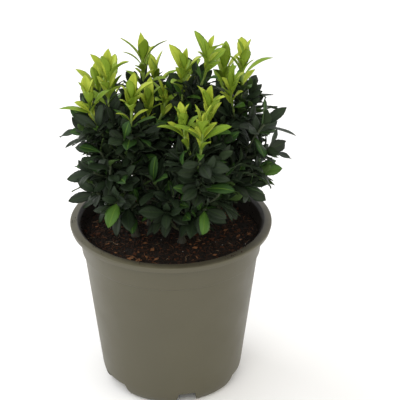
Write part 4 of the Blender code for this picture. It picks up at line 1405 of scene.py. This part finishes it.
def blade_points(leaf, rng):
    """Points and UVs of one leaf: arched and folded along its midrib, toothed at its edge."""
    spot, along, face, length, width, age, kind = leaf
    young = age < YOUNG_PAIRS and kind == "tall"
    form = YOUNG_BLADE if young else OLD_BLADE
    side = along.cross(face).normalized()
    t = np.linspace(0.0, 1.0, LEAF_ROWS + 1) ** 0.92
    arch = rng.uniform(*form["arch"])
    if young and age == 0:
        arch = rng.uniform(*TIP_ARCH)
    angle = arch * (0.5 - t)
    step = np.diff(t, prepend=0.0)
    forward = np.cumsum(np.cos(angle) * step)
    lift = np.cumsum(np.sin(angle) * step)
    lift -= lift[-1] * t
    forward /= forward[-1]
    blunt = rng.uniform(*form["blunt"])
    spread = half_width(t, blunt, rng.uniform(*FULLNESS))
    width = width * form["narrower"] * rng.uniform(*BREADTHS)
    spread = np.maximum(spread * width, PETIOLE_HALF * np.where(t < 0.5, 1.0, 0.3))
    teeth = np.where(np.arange(LEAF_ROWS + 1) % 2 == 0, 1 + TOOTH_DEPTH, 1 - TOOTH_DEPTH)
    teeth = np.where(t > 0.3, teeth, 1.0)
    fold = rng.uniform(*form["fold"])
    wave = rng.uniform(*form["wave"])
    phase = rng.uniform(0, math.tau)
    twist = rng.uniform(-0.35, 0.35) * t
    v = LEAF_COLUMNS[None, :] * np.ones((LEAF_ROWS + 1, 1))
    reach = v * spread[:, None]
    reach[:, 0] *= teeth
    reach[:, -1] *= teeth
    raised = fold * np.abs(reach) - 0.35 * fold * np.abs(v) ** 3 * spread[:, None]
    raised = raised + wave * width * np.abs(v) * np.sin(t[:, None] * 9 + phase + v * 1.5)
    on_rib = np.abs(v) < 0.1
    across = reach * np.cos(twist)[:, None]
    height = raised + np.where(on_rib, -0.12 * MM, 0.0) + reach * np.sin(twist)[:, None]
    axes = np.array([along, side, face])
    normal = -np.sin(angle)[:, None] * axes[0] + np.cos(angle)[:, None] * axes[2]
    middle = forward[:, None] * length * axes[0] + lift[:, None] * length * axes[2]
    top = np.array(spot - along * 0.4 * MM) + middle[:, None] + height[..., None] * normal[:, None]
    top = top + across[..., None] * axes[1]
    low = top - np.where(on_rib, RIB_DEPTH, LEAF_SOLID)[..., None] * normal[:, None]
    uvs = np.stack([t[:, None] * np.ones_like(v), 0.5 + 0.5 * v], -1)
    points = np.vstack([top.reshape(-1, 3), low[1:-1, 1:-1].reshape(-1, 3)])
    return points, np.vstack([uvs.reshape(-1, 2), uvs[1:-1, 1:-1].reshape(-1, 2)])


def leaf_tone(leaf, spray, rng):
    """Tone of a leaf's upper side by its pair's age and by the spray that it is on."""
    age, kind = leaf[5:]
    if kind == "tall" and age < YOUNG_PAIRS:
        return TUFT_TONES[age] if rng.random() > 0.15 else "lime_deep"
    pick = rng.random()
    if kind == "low" and age < 2:
        return "fresh" if pick < 0.13 * spray else "middle" if pick < 0.42 else "dark"
    if kind == "shoot" and age < 2 and pick < 0.05:
        return "fresh"
    return "middle" if pick < 0.13 else "dark" if pick < 0.6 else "darkest"


def build_foliage(masses):
    """Leaves and twigs of the plant, joined for each stem."""
    grid, parts = leaf_grid()
    leaf_skins = [leaf_material(name) for name in TONES]
    shoot_skins = [bark_material(f"{age} shoot") for age in ("young", "green", "old")]
    for stem in STEMS:
        names = [name for name in MASSES if MASSES[name][0] == stem]
        rng = random.Random(f"{SEED} {stem}")
        heap = Heap()
        points, faces, tones, uvs = [], [], [], []
        first = 0
        for name in names:
            spray = rng.random()
            for twig in masses[name]["twigs"]:
                twig_shape(heap, twig)
            for leaf in masses[name]["leaves"]:
                blade, blade_uvs = blade_points(leaf, rng)
                tone = leaf_tone(leaf, spray, rng)
                skins = [tone, f"{BACKS[tone]}_rib", f"{BACKS[tone]}_underside"]
                points.append(blade)
                faces.append(grid + first)
                tones.append(np.choose(parts, [TONE_NUMBERS[skin] for skin in skins]))
                uvs.append(blade_uvs[grid.reshape(-1)])
                first += len(blade)
        mesh = mesh_from(f"leaves_{stem}", np.vstack(points).tolist(), np.vstack(faces).tolist(),
                         np.concatenate(tones).tolist())
        mesh.uv_layers.new(name="blade").data.foreach_set("uv", np.vstack(uvs).reshape(-1))
        add_piece(f"leaves_{stem}", mesh, leaf_skins, [f"foliage_{name}" for name in names])
        add_piece(f"twigs_{stem}", heap.mesh(f"twigs_{stem}"), shoot_skins)


# Stage


def place_camera():
    """The camera at the photograph's place and angle."""
    camera = link_object("camera", bpy.data.cameras.new("camera"))
    flat = math.cos(CAMERA_PITCH)
    forward = Vector((math.sin(CAMERA_YAW) * flat, math.cos(CAMERA_YAW) * flat, -math.sin(CAMERA_PITCH)))
    right = forward.cross(UP).normalized()
    camera.location = CAMERA_PLACE
    camera.rotation_euler = Matrix((right, right.cross(forward), -forward)).transposed().to_euler()
    camera.data.lens = CAMERA_LENS
    camera.data.sensor_width = SENSOR
    camera.data.clip_end = 20.0
    bpy.context.scene.camera = camera


def build_stage():
    """A pale floor, a pale sky and soft square lights."""
    side = FLOOR_SIZE
    corners = [(-side, -side, 0.0), (side, -side, 0.0), (side, side, 0.0), (-side, side, 0.0)]
    mesh = mesh_from("floor", corners, [(0, 1, 2, 3)])
    shader = Shader("pale floor")
    mesh.materials.append(shader.finish(shader.ramp(shader.grain(3.0), (0.3, 0.7), FLOOR_TONES), 0.9))
    link_object("floor", mesh)
    world = bpy.data.worlds.new("studio")
    bpy.context.scene.world = world
    world.use_nodes = True
    world.node_tree.nodes["Background"].inputs["Color"].default_value = (1.0, 1.0, 1.0, 1.0)
    for name, (place, height, size, power, colour) in LIGHTS.items():
        light = bpy.data.lights.new(name, "AREA")
        light.shape = "SQUARE"
        light.size = size
        light.energy = power
        light.color = colour
        item = link_object(name, light)
        item.location = place
        aim = Vector((0.0, 0.0, height)) - Vector(place)
        item.rotation_euler = aim.to_track_quat("-Z", "Y").to_euler()
    bpy.context.scene.view_settings.view_transform = "Standard"


def main():
    """Dress the whole part."""
    soil_skins = [soil_material(name) for name in SOILS]
    build_pot()
    build_compost(soil_skins)
    build_bits(soil_skins)
    stems, limbs, masses = grow_plant()
    build_limbs("stem", stem_tube, stems, STEMS)
    build_limbs("bough", bough_tube, limbs, MASSES)
    build_foliage(masses)
    build_stage()
    place_camera()


main()
